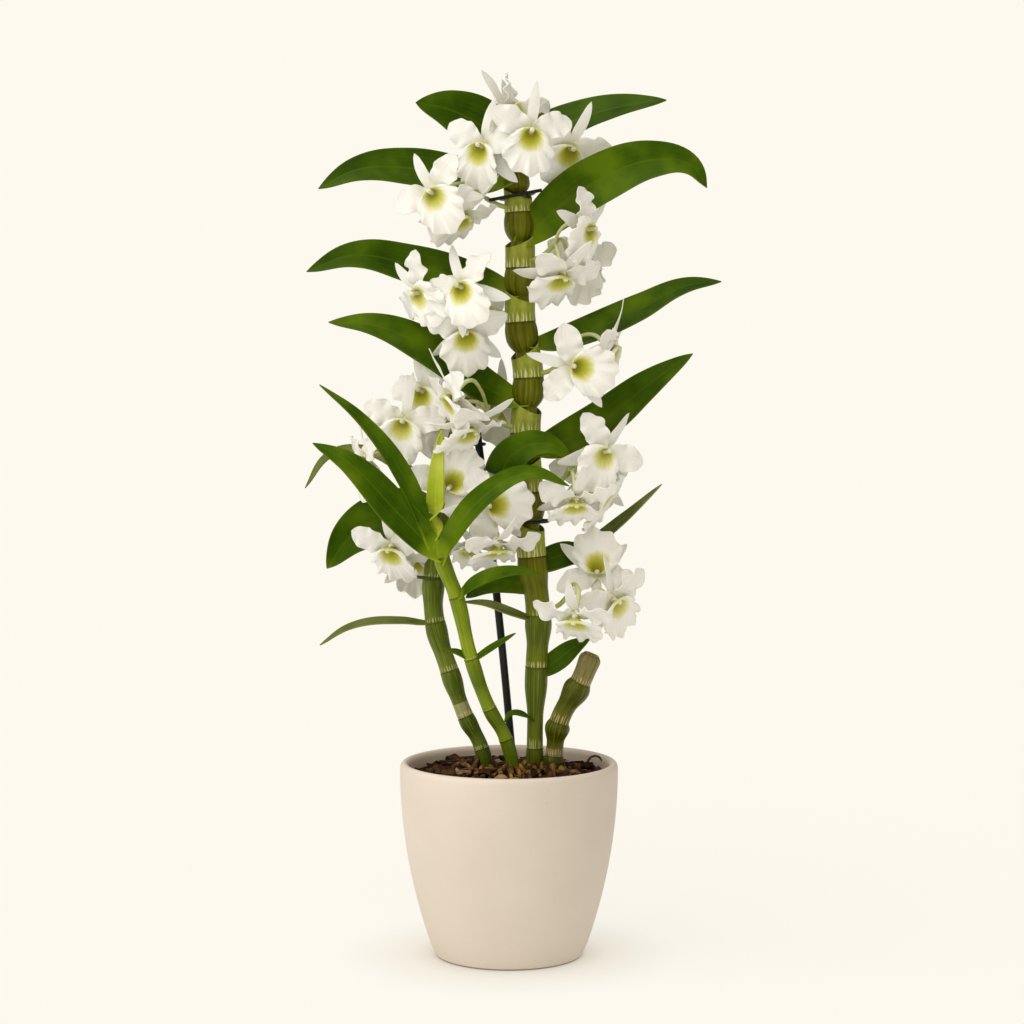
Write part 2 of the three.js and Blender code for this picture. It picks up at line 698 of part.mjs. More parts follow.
// Sprays: the stub that leaves the cane, then each flower's middle and stance.
const SPRAYS = {
  spray_top: {
    stub: [[2, -2, 486], [3, -6, 494], [6, -7, 500]],
    flowers: [
      { at: [13, -31, 504], turn: 6, tilt: -5, roll: 8 },
      { at: [-1, -10, 518], turn: 55, tilt: 10, roll: -43 },
      { at: [-15, -24, 496], turn: -32, tilt: -4, roll: 5 },
      { at: [37, 0, 498], turn: 15, tilt: -25, roll: 25 },
      { at: [4, 32, 514], turn: 178, tilt: 5, roll: 10 },
    ],
  },
  spray_left_1: {
    stub: [[6, 0, 460], [-6, -6, 462], [-14, -8, 466]],
    flowers: [
      { at: [-45, -36, 467], turn: -15, tilt: 0, roll: -35 },
      { at: [-27, -24, 457], turn: 50, tilt: -55, roll: 20 },
    ],
  },
  spray_right_1: {
    stub: [[8, 0, 427], [20, -9, 431], [27, -13, 437]],
    flowers: [
      { at: [46, -20, 447], turn: 55, tilt: -8, roll: 55 },
      { at: [32, -28, 421], turn: 20, tilt: -55, roll: 20 },
      { at: [44, 24, 430], turn: 145, tilt: -8, roll: 0 },
    ],
  },
  spray_left_2: {
    stub: [[6, 0, 394], [-8, -6, 398], [-16, -8, 402]],
    flowers: [
      { at: [-27, -41, 411], turn: -30, tilt: 2, roll: -32 },
      { at: [-26, -26, 386], turn: 5, tilt: -25, roll: 0 },
      { at: [-53, -20, 409], turn: -45, tilt: -15, roll: -60 },
      { at: [-28, 28, 396], turn: 188, tilt: -6, roll: 0 },
    ],
  },
  spray_right_2: {
    stub: [[12, 0, 359], [24, -6, 361], [31, -8, 365]],
    flowers: [
      { at: [39, -29, 364], turn: 5, tilt: 0, roll: -75 },
      { at: [61, -7, 377], turn: 75, tilt: -25, roll: 0 },
    ],
  },
  spray_left_3: {
    stub: [[10, 0, 325], [-4, -6, 329], [-12, -8, 334]],
    flowers: [
      { at: [-34, -30, 348], turn: -70, tilt: -30, roll: 0 },
      { at: [-23, -30, 329], turn: 40, tilt: -55, roll: 30 },
      { at: [-36, -17, 291], turn: 0, tilt: 0, roll: -140 },
      { at: [-4, 28, 340], turn: 175, tilt: 0, roll: 0 },
    ],
  },
  spray_right_3: {
    stub: [[12, 0, 289], [26, -6, 291], [34, -8, 296]],
    flowers: [
      { at: [57, -24, 313], turn: 25, tilt: -5, roll: 35 },
      { at: [58, -4, 289], turn: 75, tilt: -35, roll: 10 },
      { at: [40, -36, 286], turn: 10, tilt: -62, roll: 0 },
      { at: [50, 27, 296], turn: 160, tilt: 0, roll: 0 },
    ],
  },
  spray_left_4: {
    stub: [[13, 0, 250], [-1, -8, 254], [-8, -12, 260]],
    flowers: [
      { at: [-12, -26, 280], turn: 10, tilt: 0, roll: -95 },
      { at: [-24, -6, 256], turn: -25, tilt: -60, roll: 0 },
      { at: [-7, -30, 258], turn: 20, tilt: -70, roll: 0 },
    ],
  },
  spray_right_4: {
    stub: [[18, 0, 213], [30, -4, 217], [36, -6, 223]],
    flowers: [
      { at: [54, -4, 237], turn: 0, tilt: 20, roll: 180 },
      { at: [63, -12, 222], turn: 45, tilt: -20, roll: -30 },
      { at: [40, -40, 216], turn: -20, tilt: -60, roll: 0 },
    ],
  },
  spray_old_top: {
    stub: [[-30, 20, 326], [-42, 16, 330], [-48, 12, 332]],
    flowers: [
      { at: [-52, 6, 349], turn: -30, tilt: 0, roll: -20 },
      { at: [-64, -5, 331], turn: -10, tilt: -10, roll: 10 },
      { at: [-88, 14, 308], turn: -72, tilt: -14, roll: 0 },
      { at: [-44, 42, 334], turn: -165, tilt: 0, roll: 0 },
    ],
  },
  spray_old_low: {
    stub: [[-44, 16, 264], [-54, 17, 258], [-58, 18, 254]],
    flowers: [
      { at: [-72, 6, 254], turn: -28, tilt: -40, roll: 0 },
      { at: [-58, 38, 246], turn: -170, tilt: -20, roll: 0 },
    ],
  },
};

function spray({ stub, flowers }, first) {
  const pieces = [stem(smooth(stub), [[0, 1.6], [0.5, 1.5], [1, 1.4]], STALK_SIDES)];
  flowers.forEach((placed, i) => {
    const { facing, place } = stance(placed);
    pieces.push(flowerStalk(point(stub.at(-1)), placed, facing));
    pieces.push(solid(flower(first + i).applyMatrix4(place)));
  });
  return join(pieces);
}

// ---- Build order: each group is cut clear of the room that the groups before it take up ----
const taken = [];
for (const [name, form] of Object.entries(CANES)) {
  taken.push(cane(form, GAP));
  add(name, cane(form), form.material);
}
for (const [name, points] of Object.entries(STAKES)) {
  taken.push(stake(points, GAP));
  add(name, stake(points), blackPlastic);
}
let room = join(taken);
for (const [name, form] of Object.entries(TIES)) add(name, tie(form), blackPlastic);
add("root_crown", largest(crown().subtract(room)), rootSkin);
add("soil", largest(soil().subtract(room).subtract(crown(GAP))), bark);

for (const [name, form] of Object.entries(LEAVES)) {
  const material = name.startsWith("leaf_shoot") ? youngLeafGreen : leafGreen;
  add(name, largest(leaf(form).subtract(room)), material);
  room = room.add(leaf(form, GAP));
}

let flowersSoFar = 0;
for (const [name, form] of Object.entries(SPRAYS)) {
  add(name, largest(spray(form, flowersSoFar).subtract(room)), petalWhite);
  flowersSoFar += form.flowers.length;
}

export default group;
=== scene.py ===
import math
import random

import bmesh
import bpy
from mathutils import Matrix, Vector
from mathutils.geometry import interpolate_bezier


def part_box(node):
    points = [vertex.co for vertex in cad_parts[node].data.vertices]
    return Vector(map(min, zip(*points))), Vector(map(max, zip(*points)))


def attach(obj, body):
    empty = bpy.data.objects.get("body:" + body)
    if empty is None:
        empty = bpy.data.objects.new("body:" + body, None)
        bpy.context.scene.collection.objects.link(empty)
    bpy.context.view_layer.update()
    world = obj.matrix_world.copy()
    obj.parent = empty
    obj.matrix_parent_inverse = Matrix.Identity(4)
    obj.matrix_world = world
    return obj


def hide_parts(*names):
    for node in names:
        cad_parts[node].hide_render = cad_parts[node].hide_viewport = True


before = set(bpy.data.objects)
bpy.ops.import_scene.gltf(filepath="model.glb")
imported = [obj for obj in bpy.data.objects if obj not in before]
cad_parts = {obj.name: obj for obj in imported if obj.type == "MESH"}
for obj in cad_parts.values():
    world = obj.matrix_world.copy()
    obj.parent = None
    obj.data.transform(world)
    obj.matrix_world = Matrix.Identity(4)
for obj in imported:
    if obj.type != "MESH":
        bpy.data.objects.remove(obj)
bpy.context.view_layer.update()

# ==== The pot ====
# A cover pot of beige stoneware with a matt glaze, thrown as one wall with a soft round lip.
# The foot is turned hollow underneath, so that the pot stands on a narrow ring.
mm = 0.001

pot_low, pot_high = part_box("pot")
rim_radius = pot_high.x
pot_height = pot_high.z
foot_radius = 46.3 * mm
wall = 5.5 * mm
lip_height = 4 * mm
floor_height = 7 * mm
hollow_radius = 39 * mm
hollow_height = 1.3 * mm


def wall_radius(height):
    """The outside of the wall: a wide curve that stands upright at the lip."""
    climb = height / (pot_height - lip_height)
    return foot_radius + (rim_radius - foot_radius) * (1 - (1 - climb) ** 2)


def open_piece(name):
    """The primitive that was just added, named and open for editing with all of it selected."""
    piece = bpy.context.object
    piece.name = name
    piece.data.name = name
    bpy.ops.object.mode_set(mode="EDIT")
    bpy.ops.mesh.select_all(action="SELECT")
    return piece


def draw_rings(rings):
    """From the selected ring, the first of the list, one ring after another at its radius and height."""
    for (radius, height), (next_radius, next_height) in zip(rings, rings[1:]):
        bpy.ops.mesh.extrude_region_move(TRANSFORM_OT_translate={"value": (0, 0, next_height - height)})
        spread = next_radius / radius
        bpy.ops.transform.resize(value=(spread, spread, 1), center_override=(0, 0, next_height))


def close_piece(piece, crease=40):
    """Merges what meets, turns the faces outward, leaves edit mode and shades the piece smooth."""
    bpy.ops.mesh.select_all(action="SELECT")
    bpy.ops.mesh.remove_doubles(threshold=0.01 * mm)
    bpy.ops.mesh.normals_make_consistent(inside=False)
    bpy.ops.object.mode_set(mode="OBJECT")
    bpy.ops.object.shade_smooth_by_angle(angle=math.radians(crease))
    return piece


def new_finish(name, roughness):
    finish = bpy.data.materials.new(name)
    finish.use_nodes = True
    finish.node_tree.nodes["Principled BSDF"].inputs["Roughness"].default_value = roughness
    return finish


def put(finish, kind, sockets, **settings):
    """Adds a shader node. Each of its sockets is given a value, or the output that feeds it."""
    node = finish.node_tree.nodes.new("ShaderNode" + kind)
    for name, value in settings.items():
        setattr(node, name, value)
    for key, value in sockets.items():
        if isinstance(value, bpy.types.NodeSocket):
            finish.node_tree.links.new(value, node.inputs[key])
        else:
            node.inputs[key].default_value = value
    return node


def ramp(finish, factor, stops):
    """Colours along a factor: each stop is its place from 0 to 1 and its colour or brightness."""
    node = put(finish, "ValToRGB", {"Fac": factor})
    elements = node.color_ramp.elements
    while len(elements) < len(stops):
        elements.new(1)
    for element, (place, colour) in zip(elements, stops):
        element.position = place
        element.color = (*colour, 1) if isinstance(colour, tuple) else (colour, colour, colour, 1)
    return node.outputs["Color"]


def blend(finish, factor, a, b):
    """Colour a where the factor is 0 and colour b where it is 1."""
    a = a if isinstance(a, bpy.types.NodeSocket) else (*a, 1)
    b = b if isinstance(b, bpy.types.NodeSocket) else (*b, 1)
    return put(finish, "Mix", {0: factor, 6: a, 7: b}, data_type="RGBA").outputs[2]


def sums(finish, operation, a, b=0.0, clamp=False):
    return put(finish, "Math", {0: a, 1: b}, operation=operation, use_clamp=clamp).outputs[0]


def grain(finish, vector, scale, detail=3.0, roughness=0.5):
    """A soft random pattern from 0 to 1."""
    sockets = {"Vector": vector, "Scale": scale, "Detail": detail, "Roughness": roughness}
    return put(finish, "TexNoise", sockets).outputs["Fac"]


def stretched(finish, vector, x, y, z):
    return put(finish, "Mapping", {"Vector": vector, "Scale": (x, y, z)}).outputs["Vector"]


def own_place(finish):
    return put(finish, "TexCoord", {}).outputs["Object"]


def surface(finish, colour=None, roughness=None, relief=None, depth=0.1 * mm):
    """Feeds the finish's colour, roughness and fine relief."""
    shader = finish.node_tree.nodes["Principled BSDF"]
    link = finish.node_tree.links.new
    if colour is not None:
        link(colour, shader.inputs["Base Color"])
    if roughness is not None:
        link(roughness, shader.inputs["Roughness"])
    if relief is not None:
        bump = put(finish, "Bump", {"Height": relief, "Distance": depth, "Strength": 1.0})
        link(bump.outputs["Normal"], shader.inputs["Normal"])


def stands_for(piece, slot, *nodes):
    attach(piece, "root")
    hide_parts(*nodes)


def build_pot():
    side = [(wall_radius(h), h) for h in [(pot_height - lip_height) * i / 16 for i in range(1, 17)]]
    middle = rim_radius - wall / 2
    turns = [math.pi * i / 10 for i in range(1, 11)]
    lip = [
        (middle + wall / 2 * math.cos(turn), pot_height - lip_height * (1 - math.sin(turn))) for turn in turns
    ]
    inside = [(radius - wall, height) for radius, height in reversed(side[2:-1])]
    cove = [(foot_radius - wall - 1.5 * mm, floor_height + 2 * mm), (foot_radius - wall - 6 * mm, floor_height)]
    foot = [
        (hollow_radius, hollow_height),
        (hollow_radius + 0.8 * mm, 0.2 * mm),
        (hollow_radius + 1.6 * mm, 0),
        (foot_radius - 2.4 * mm, 0),
        (foot_radius - 1.9 * mm, 0.6 * mm),
        (foot_radius - 0.3 * mm, 0.9 * mm),
    ]
    bpy.ops.object.select_all(action="DESELECT")
    bpy.ops.mesh.primitive_circle_add(
        vertices=144, radius=hollow_radius, fill_type="TRIFAN", location=(0, 0, hollow_height)
    )
    piece = open_piece("pot_wall")
    bpy.ops.mesh.region_to_loop()
    draw_rings(foot + side + lip + inside + cove)
    bpy.ops.mesh.edge_face_add()
    close_piece(piece, crease=50)
    bpy.ops.object.transform_apply(location=True, rotation=True, scale=True)
    return piece


stoneware = new_finish("stoneware", roughness=0.6)
glaze = own_place(stoneware)
clouds = grain(stoneware, glaze, 16, detail=4)
body = ramp(stoneware, clouds, [(0.3, (0.65, 0.568, 0.478)), (0.7, (0.70, 0.618, 0.528))])
parts = put(stoneware, "SeparateXYZ", {"Vector": glaze}).outputs
across = sums(stoneware, "SQRT", sums(
    stoneware, "ADD", sums(stoneware, "MULTIPLY", parts["X"], parts["X"]),
    sums(stoneware, "MULTIPLY", parts["Y"], parts["Y"])))
inner_side = ramp(stoneware, sums(stoneware, "MULTIPLY", across, 10), [(0.62, 1.0), (0.645, 0.0)])
over_bark = ramp(stoneware, sums(stoneware, "MULTIPLY", parts["Z"], 7), [(0.62, 0.0), (0.7, 0.75), (0.84, 0.2)])
body = blend(stoneware, sums(stoneware, "MULTIPLY", inner_side, over_bark), body, (0.5, 0.32, 0.17))
specks = ramp(stoneware, grain(stoneware, glaze, 420, detail=2), [(0.69, 0.0), (0.76, 0.35)])
surface(
    stoneware,
    colour=blend(stoneware, specks, body, (0.56, 0.43, 0.32)),
    roughness=ramp(stoneware, grain(stoneware, glaze, 60), [(0.3, 0.5), (0.7, 0.64)]),
    relief=grain(stoneware, glaze, 260, detail=5, roughness=0.6),
    depth=0.08 * mm,
)

pot = build_pot()
pot.data.materials.append(stoneware)
stands_for(pot, "ceramic", "pot")

# ==== The bark mix ====
# Pine bark chips with coir fibre fill the pot to just under the lip. The bed is one settled mass;
# loose chips lie over it, with a few scraps of dry leaf sheath and strands of coir.
soil_low, soil_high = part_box("soil")
bed_top = 111.2 * mm
bed_radius = wall_radius(bed_top) - wall - 0.15 * mm


def model_bed():
    bpy.ops.object.select_all(action="DESELECT")
    start_radius = 34 * mm
    bpy.ops.mesh.primitive_circle_add(
        vertices=96, radius=start_radius, fill_type="TRIFAN", location=(0, 0, floor_height + 0.3 * mm)
    )
    piece = open_piece("bark_bed")
    bpy.ops.mesh.region_to_loop()
    heights = [10, 22, 48, 80, 100]
    side = [(wall_radius(h * mm) - wall - 0.15 * mm, h * mm) for h in heights]
    shares = [1, 0.96, 0.9, 0.83, 0.76, 0.69, 0.62, 0.55, 0.48, 0.41, 0.34, 0.27, 0.2, 0.13, 0.06]
    top = [(bed_radius * share, bed_top) for share in shares]
    draw_rings([(start_radius, floor_height + 0.3 * mm)] + side + top)
    bpy.ops.mesh.merge(type="CENTER")
    close_piece(piece)
    bpy.ops.object.transform_apply(location=True, rotation=True, scale=True)
    crumb = bpy.data.textures.new("bark_crumb", "CLOUDS")
    crumb.noise_scale = 7 * mm
    crumb.noise_depth = 3
    loose = piece.vertex_groups.new(name="loose")
    loose.add([v.index for v in piece.data.vertices if v.co.z > bed_top - mm and v.co.xy.length < 0.97 * bed_radius],
              1.0, "REPLACE")
    lift = piece.modifiers.new("crumb", "DISPLACE")
    lift.texture = crumb
    lift.texture_coords = "GLOBAL"
    lift.direction = "Z"
    lift.strength = 5 * mm
    lift.mid_level = 0.55
    lift.vertex_group = "loose"
    bpy.ops.object.modifier_apply(modifier="crumb")
    return piece


def model_chip(number):
    """One chip of bark: a flat block, broken unevenly at its edges."""
    bpy.ops.object.select_all(action="DESELECT")
    bpy.ops.mesh.primitive_cube_add(size=1)
    chip = open_piece(f"chip_form_{number}")
    bpy.ops.transform.resize(value=(1, 0.62, 0.26))
    bpy.ops.mesh.subdivide(number_cuts=1)
    bpy.ops.transform.vertex_random(offset=0.11, seed=number)
    close_piece(chip, crease=25)
    return chip


def own_copy(form, name):
    """A copy of a modelled form with a mesh of its own."""
    copy = form.copy()
    copy.data = form.data.copy()
    copy.name = name
    copy.data.name = name
    bpy.context.collection.objects.link(copy)
    return copy


def join(pieces, name):
    bpy.ops.object.select_all(action="DESELECT")
    for piece in pieces:
        piece.select_set(True)
    bpy.context.view_layer.objects.active = pieces[0]
    bpy.ops.object.join()
    joined = bpy.context.object
    joined.name = name
    joined.data.name = name
    return joined


def store_number(piece, name, value):
    """The same number on every vertex of a piece, for its finish to read after it is joined to others."""
    piece.data.attributes.new(name, "FLOAT", "POINT").data.foreach_set("value", [value] * len(piece.data.vertices))


def strew(forms, count, size, reach, lift, draw, clear_of=()):
    """Copies of the forms, strewn over the bed at random places, sizes and tilts."""
    strewn = []
    while len(strewn) < count:
        length = draw.uniform(*size)
        radius = (reach - length / 2) * math.sqrt(draw.random())
        angle = draw.uniform(0, 2 * math.pi)
        spot = Vector((radius * math.cos(angle), radius * math.sin(angle), bed_top + draw.uniform(*lift)))
        tilt = (draw.gauss(0, 0.28), draw.gauss(0, 0.28), draw.uniform(0, 2 * math.pi))
        tone = draw.random()
        if any((spot.xy - Vector(stem) * mm).length < 8 * mm for stem in clear_of):
            continue
        chip = own_copy(draw.choice(forms), f"chip_{len(strewn)}")
        turn = Matrix.Rotation(tilt[2], 4, "Z") @ Matrix.Rotation(tilt[1], 4, "Y") @ Matrix.Rotation(tilt[0], 4, "X")
        chip.data.transform(Matrix.Translation(spot) @ turn @ Matrix.Scale(length, 4))
        store_number(chip, "tone", tone)
        strewn.append(chip)
    return strewn


def draw_tubes(name, lines, sides=3, caps=True):
    """Round strands along smooth lines: each line is a list of points (x, y, z, radius) in millimetres."""
    bpy.ops.object.select_all(action="DESELECT")
    bpy.ops.curve.primitive_bezier_curve_add(location=(0, 0, 0))
    strands = bpy.context.object
    strands.name = name
    shape = strands.data
    shape.dimensions = "3D"
    shape.bevel_depth = mm
    shape.bevel_resolution = sides
    shape.resolution_u = 6
    shape.use_fill_caps = caps
    shape.splines.clear()
    for line in lines:
        spline = shape.splines.new("BEZIER")
        spline.bezier_points.add(len(line) - 1)
        for knot, (x, y, z, radius) in zip(spline.bezier_points, line):
            knot.co = Vector((x, y, z)) * mm
            knot.radius = radius
            knot.handle_left_type = "AUTO"
            knot.handle_right_type = "AUTO"
    bpy.ops.object.convert(target="MESH")
    tubes = bpy.context.object
    tubes.data.name = name
    bpy.ops.object.mode_set(mode="EDIT")
    return close_piece(tubes, crease=60)


bark = new_finish("bark", roughness=0.85)
bark.node_tree.nodes["Principled BSDF"].inputs["Specular IOR Level"].default_value = 0.12
tone = put(bark, "Attribute", {}, attribute_name="tone").outputs["Fac"]
lumps = grain(bark, own_place(bark), 260, detail=5)
woody = ramp(bark, tone, [(0.0, (0.014, 0.005, 0.001)), (0.6, (0.052, 0.018, 0.005)), (1.0, (0.14, 0.055, 0.016))])
crust = ramp(bark, lumps, [(0.3, 0.3), (0.62, 1.0)])
surface(
    bark,
    colour=put(bark, "Mix", {0: 1.0, 6: woody, 7: crust}, data_type="RGBA", blend_type="MULTIPLY").outputs[2],
    roughness=ramp(bark, lumps, [(0.3, 0.95), (0.7, 0.62)]),
    relief=lumps,
    depth=0.5 * mm,
)

coir = new_finish("coir", roughness=0.8)
surface(coir, colour=ramp(coir, grain(coir, own_place(coir), 90), [(0.35, (0.09, 0.04, 0.018)), (0.7, (0.36, 0.2, 0.09))]))

dry_scrap = new_finish("dry_scrap", roughness=0.6)
surface(
    dry_scrap,
    colour=ramp(dry_scrap, grain(dry_scrap, own_place(dry_scrap), 240), [(0.3, (0.13, 0.065, 0.022)), (0.68, (0.42, 0.28, 0.13))]),
)

stem_feet = [(16, 2), (-14, 3), (4, -11), (27, -2), (11, 12), (5, 13)]
seeded = random.Random(11)

bed = model_bed()
store_number(bed, "tone", 0.15)
bed.data.materials.append(bark)
stands_for(bed, "bark", "soil")

chip_forms = [model_chip(number) for number in range(1, 6)]
chips = strew(chip_forms, 430, (5 * mm, 13 * mm), bed_radius - 0.5 * mm, (-1.5 * mm, 2.2 * mm), seeded, stem_feet)
chips = join(chips, "bark_chips")
chips.data.materials.append(bark)
stands_for(chips, "bark", "soil")

scraps = strew(chip_forms, 9, (5 * mm, 9 * mm), 40 * mm, (2.2 * mm, 3.4 * mm), seeded, stem_feet)
scraps = join(scraps, "sheath_scraps")
scraps.data.materials.append(dry_scrap)
stands_for(scraps, "bark", "soil")
for form in chip_forms:
    bpy.data.objects.remove(form)


def coir_line(draw):
    radius = 50 * math.sqrt(draw.random())
    angle = draw.uniform(0, 2 * math.pi)
    heading = draw.uniform(0, 2 * math.pi)
    x, y = radius * math.cos(angle), radius * math.sin(angle)
    line = []
    for step in range(4):
        line.append((x, y, 112.6 + draw.uniform(-1.2, 2.2), 0.22))
        heading += draw.uniform(-0.8, 0.8)
        x, y = x + 4.5 * math.cos(heading), y + 4.5 * math.sin(heading)
        if math.hypot(x, y) > 57:
            break
    return line


strands = [line for line in (coir_line(seeded) for _ in range(90)) if len(line) > 1]
fibres = draw_tubes("coir_fibres", strands, sides=1)
fibres.data.materials.append(coir)
stands_for(fibres, "bark", "soil")

# ==== Roots and rhizome ====
# The canes stand on a short knobby rhizome that creeps over the bark. Thick golden roots leave it on
# all sides and dive into the mix; one dry old root stands up in a loop against the wall of the pot.
rhizome = [(-20, 5, 108, 6), (-13, 0, 109, 8), (-6, -3, 108, 7.4), (0, -7, 108, 8.2), (6, -9, 108, 7.6),
           (12, -5, 108.5, 8.3), (17, 0, 108, 8), (25, -2, 108.5, 8.2), (34, -2, 108, 6.2)]
thick_roots = [
    [(-16, -2, 111), (-22, -10, 115.5), (-31, -20, 108)],
    [(-9, -3, 113), (-14, -15, 116), (-19, -27, 108)],
    [(-3, -6, 113), (-5, -20, 116), (-6, -33, 108)],
    [(11, -7, 113), (12, -20, 116), (14, -32, 108)],
    [(19, -4, 113), (24, -17, 116), (29, -29, 108)],
    [(33, -5, 110), (41, -14, 115.5), (48, -23, 108)],
    [(33, 1, 110), (41, 12, 115.5), (47, 22, 108)],
    [(-19, 8, 110), (-30, 16, 115.5), (-39, 26, 108)],
]
thin_roots = [
    [(-12, -4, 114), (-16, -10, 115), (-24, -13, 110)],
    [(1, -14, 114), (1, -22, 115.5), (3, -30, 110)],
    [(-1, -12, 114), (-8, -19, 115), (-13, -21, 110)],
    [(7, -13, 113), (9, -21, 115), (8, -27, 110)],
    [(15, -5, 114), (18, -13, 116), (20, -24, 110)],
    [(24, -5, 113), (31, -12, 115.5), (36, -20, 110)],
    [(30, -6, 112), (34, -10, 115), (40, -12, 110)],
    [(19, 6, 113), (21, 14, 115), (24, 22, 110)],
    [(-10, 6, 113), (-12, 15, 115), (-14, 24, 110)],
    [(2, 0, 113), (0, 8, 114.5), (-2, 17, 110)],
    [(30, 3, 112), (36, 10, 115), (35, 18, 110)],
]
old_root_loop = [(48, 12, 112, 0.8), (49, 13, 117, 0.75), (52, 14, 120.5, 0.7), (56, 13, 120.5, 0.7), (58, 12, 118, 0.5)]


def tapered(line, radius):
    shares = [1.0, 0.92, 0.7]
    return [(x, y, z, radius * share) for (x, y, z), share in zip(line, shares)]


def foot_stubs(x, y, radius, count, draw):
    """The short stubs of roots and dead bracts that stand like a skirt round the foot of a cane."""
    stubs = []
    for i in range(count):
        angle = 2 * math.pi * (i + draw.uniform(-0.25, 0.25)) / count
        out = (math.cos(angle), math.sin(angle))
        top = 119 + draw.uniform(-2.0, 1.5)
        spread = radius + draw.uniform(3.5, 7.5)
        stubs.append([
            (x + 0.75 * radius * out[0], y + 0.75 * radius * out[1], top, draw.uniform(1.0, 1.4)),
            (x + (radius + 1.6) * out[0], y + (radius + 1.6) * out[1], top - 1.6, draw.uniform(1.6, 2.2)),
            (x + spread * out[0], y + spread * out[1], 109.5, draw.uniform(1.4, 2.0)),
        ])
    return stubs


golden = new_finish("golden_root", roughness=0.5)
golden.node_tree.nodes["Principled BSDF"].inputs["Specular IOR Level"].default_value = 0.12
skin = own_place(golden)
surface(
    golden,
    colour=ramp(
        golden,
        grain(golden, stretched(golden, skin, 1, 1, 0.5), 190, detail=4),
        [(0.4, (0.02, 0.009, 0.002)), (0.54, (0.14, 0.066, 0.014)), (0.72, (0.40, 0.23, 0.055))],
    ),
    relief=grain(golden, skin, 420, detail=4),
    depth=0.35 * mm,
)

stubs = [stub for foot in [(16, 1.5, 4.8, 8), (-15.5, 4, 4.6, 8), (1, -12, 4.2, 8), (27.5, -2, 4.9, 8)]
         for stub in foot_stubs(*foot, seeded)]
crown = draw_tubes("rhizome_and_roots", [rhizome] + [tapered(r, 1.7) for r in thick_roots]
                   + [tapered(r, 1.2) for r in thin_roots] + stubs, sides=3)
crown.data.materials.append(golden)
stands_for(crown, "root", "root_crown")

dry_root = new_finish("dry_root", roughness=0.6)
surface(dry_root, colour=ramp(dry_root, grain(dry_root, own_place(dry_root), 300), [(0.4, (0.02, 0.016, 0.01)), (0.7, (0.07, 0.05, 0.03))]))
old_root = draw_tubes("old_root_loop", [old_root_loop], sides=2)
old_root.data.materials.append(dry_root)
stands_for(old_root, "root", "root_crown")

# ==== The canes ====
# Fleshy jointed stems. Each is modelled upright, one ring after another, and then bent along its line.
# At each joint the cane is drawn in and swells again below the next; the tallest carries the flowers.
CANES = {
    "main_cane": {
        "form": (0.97, 1.1),
        "joints": [(16, 2, 103, 4.8), (16, 2, 128, 5.1), (17, 0, 179, 6.9), (18, 0, 211, 7.8), (14, 0, 247, 8.8),
                   (12, 0, 287, 9), (10, 0, 323, 9.2), (12, 0, 357, 9.2), (7, 0, 391, 9.2), (7, 0, 424, 9),
                   (6, 0, 458, 8.4), (4, 0, 482, 6.6), (1, 0, 493, 4)],
        "first_leaf": 1,
    },
    "old_cane": {
        "form": (0.94, 1.08),
        "joints": [(-14, 3, 103, 4.2), (-17, 5, 127, 4.8), (-27, 6, 147, 5.2), (-37, 9, 175, 6), (-46, 12, 205, 6.4),
                   (-47, 14, 232, 6.6), (-44, 16, 262, 6.6), (-39, 18, 294, 6.4), (-30, 20, 325, 5.8), (-24, 20, 344, 3.6)],
        "first_leaf": 1,
    },
    "new_shoot": {
        "form": (0.94, 1.03),
        "joints": [(4, -11, 103, 3.9), (-2, -14, 136, 4.3), (-12, -16, 155, 4.4), (-23, -18, 186, 4.5),
                   (-32, -20, 224, 4.8), (-41, -21, 248, 5), (-43, -21, 260, 3.2)],
        "first_leaf": -1,
    },
    "cut_cane": {
        "form": (0.98, 1.3),
        "joints": [(27, -2, 103, 4.4), (28, -2, 124, 5.4), (31, -3, 145, 6.2), (44, -5, 170, 6.6), (51, -6, 187, 4.9)],
        "first_leaf": 1,
    },
}


def draw_rib(points, twist="Z_UP", upright=False):
    """A smooth line through points in millimetres, for a straight piece to be bent along."""
    bpy.ops.object.select_all(action="DESELECT")
    bpy.ops.curve.primitive_bezier_curve_add(location=(0, 0, 0))
    rib = bpy.context.object
    rib.data.dimensions = "3D"
    rib.data.twist_mode = twist
    rib.data.resolution_u = 16
    knots = rib.data.splines[0].bezier_points
    knots.add(len(points) - 2)
    for knot, spot in zip(knots, points):
        knot.co = Vector(spot[:3]) * mm
        knot.handle_left_type = "AUTO"
        knot.handle_right_type = "AUTO"
    bpy.context.view_layer.update()
    if upright:
        reach = 0.33 * (knots[1].co - knots[0].co).length
        knots[0].handle_left_type = "FREE"
        knots[0].handle_right_type = "FREE"
        knots[0].handle_right = knots[0].co + Vector((0, 0, reach))
        knots[0].handle_left = knots[0].co - Vector((0, 0, reach))
        bpy.context.view_layer.update()
    return rib


def knot_places(rib):
    """How far along its line each knot of a rib lies."""
    knots = rib.data.splines[0].bezier_points
    places = [0.0]
    for a, b in zip(knots, knots[1:]):
        steps = interpolate_bezier(a.co, a.handle_right, b.handle_left, b.co, 24)
        places.append(places[-1] + sum((q - p).length for p, q in zip(steps, steps[1:])))
    return places


def bend(piece, rib, axis):
    """Bends a straight piece along a rib, from the rib's first knot on."""
    bpy.ops.object.select_all(action="DESELECT")
    bpy.context.view_layer.objects.active = piece
    piece.select_set(True)
    curve = piece.modifiers.new("bend", "CURVE")
    curve.object = rib
    curve.deform_axis = axis
    bpy.ops.object.modifier_apply(modifier="bend")
    return piece


def remember(piece, name, of):
    """Stores a vector for each vertex, worked out from its place before the piece is bent."""
    stored = piece.data.attributes.new(name, "FLOAT_VECTOR", "POINT")
    for spot, vertex in zip(stored.data, piece.data.vertices):
        spot.vector = of(vertex.co)


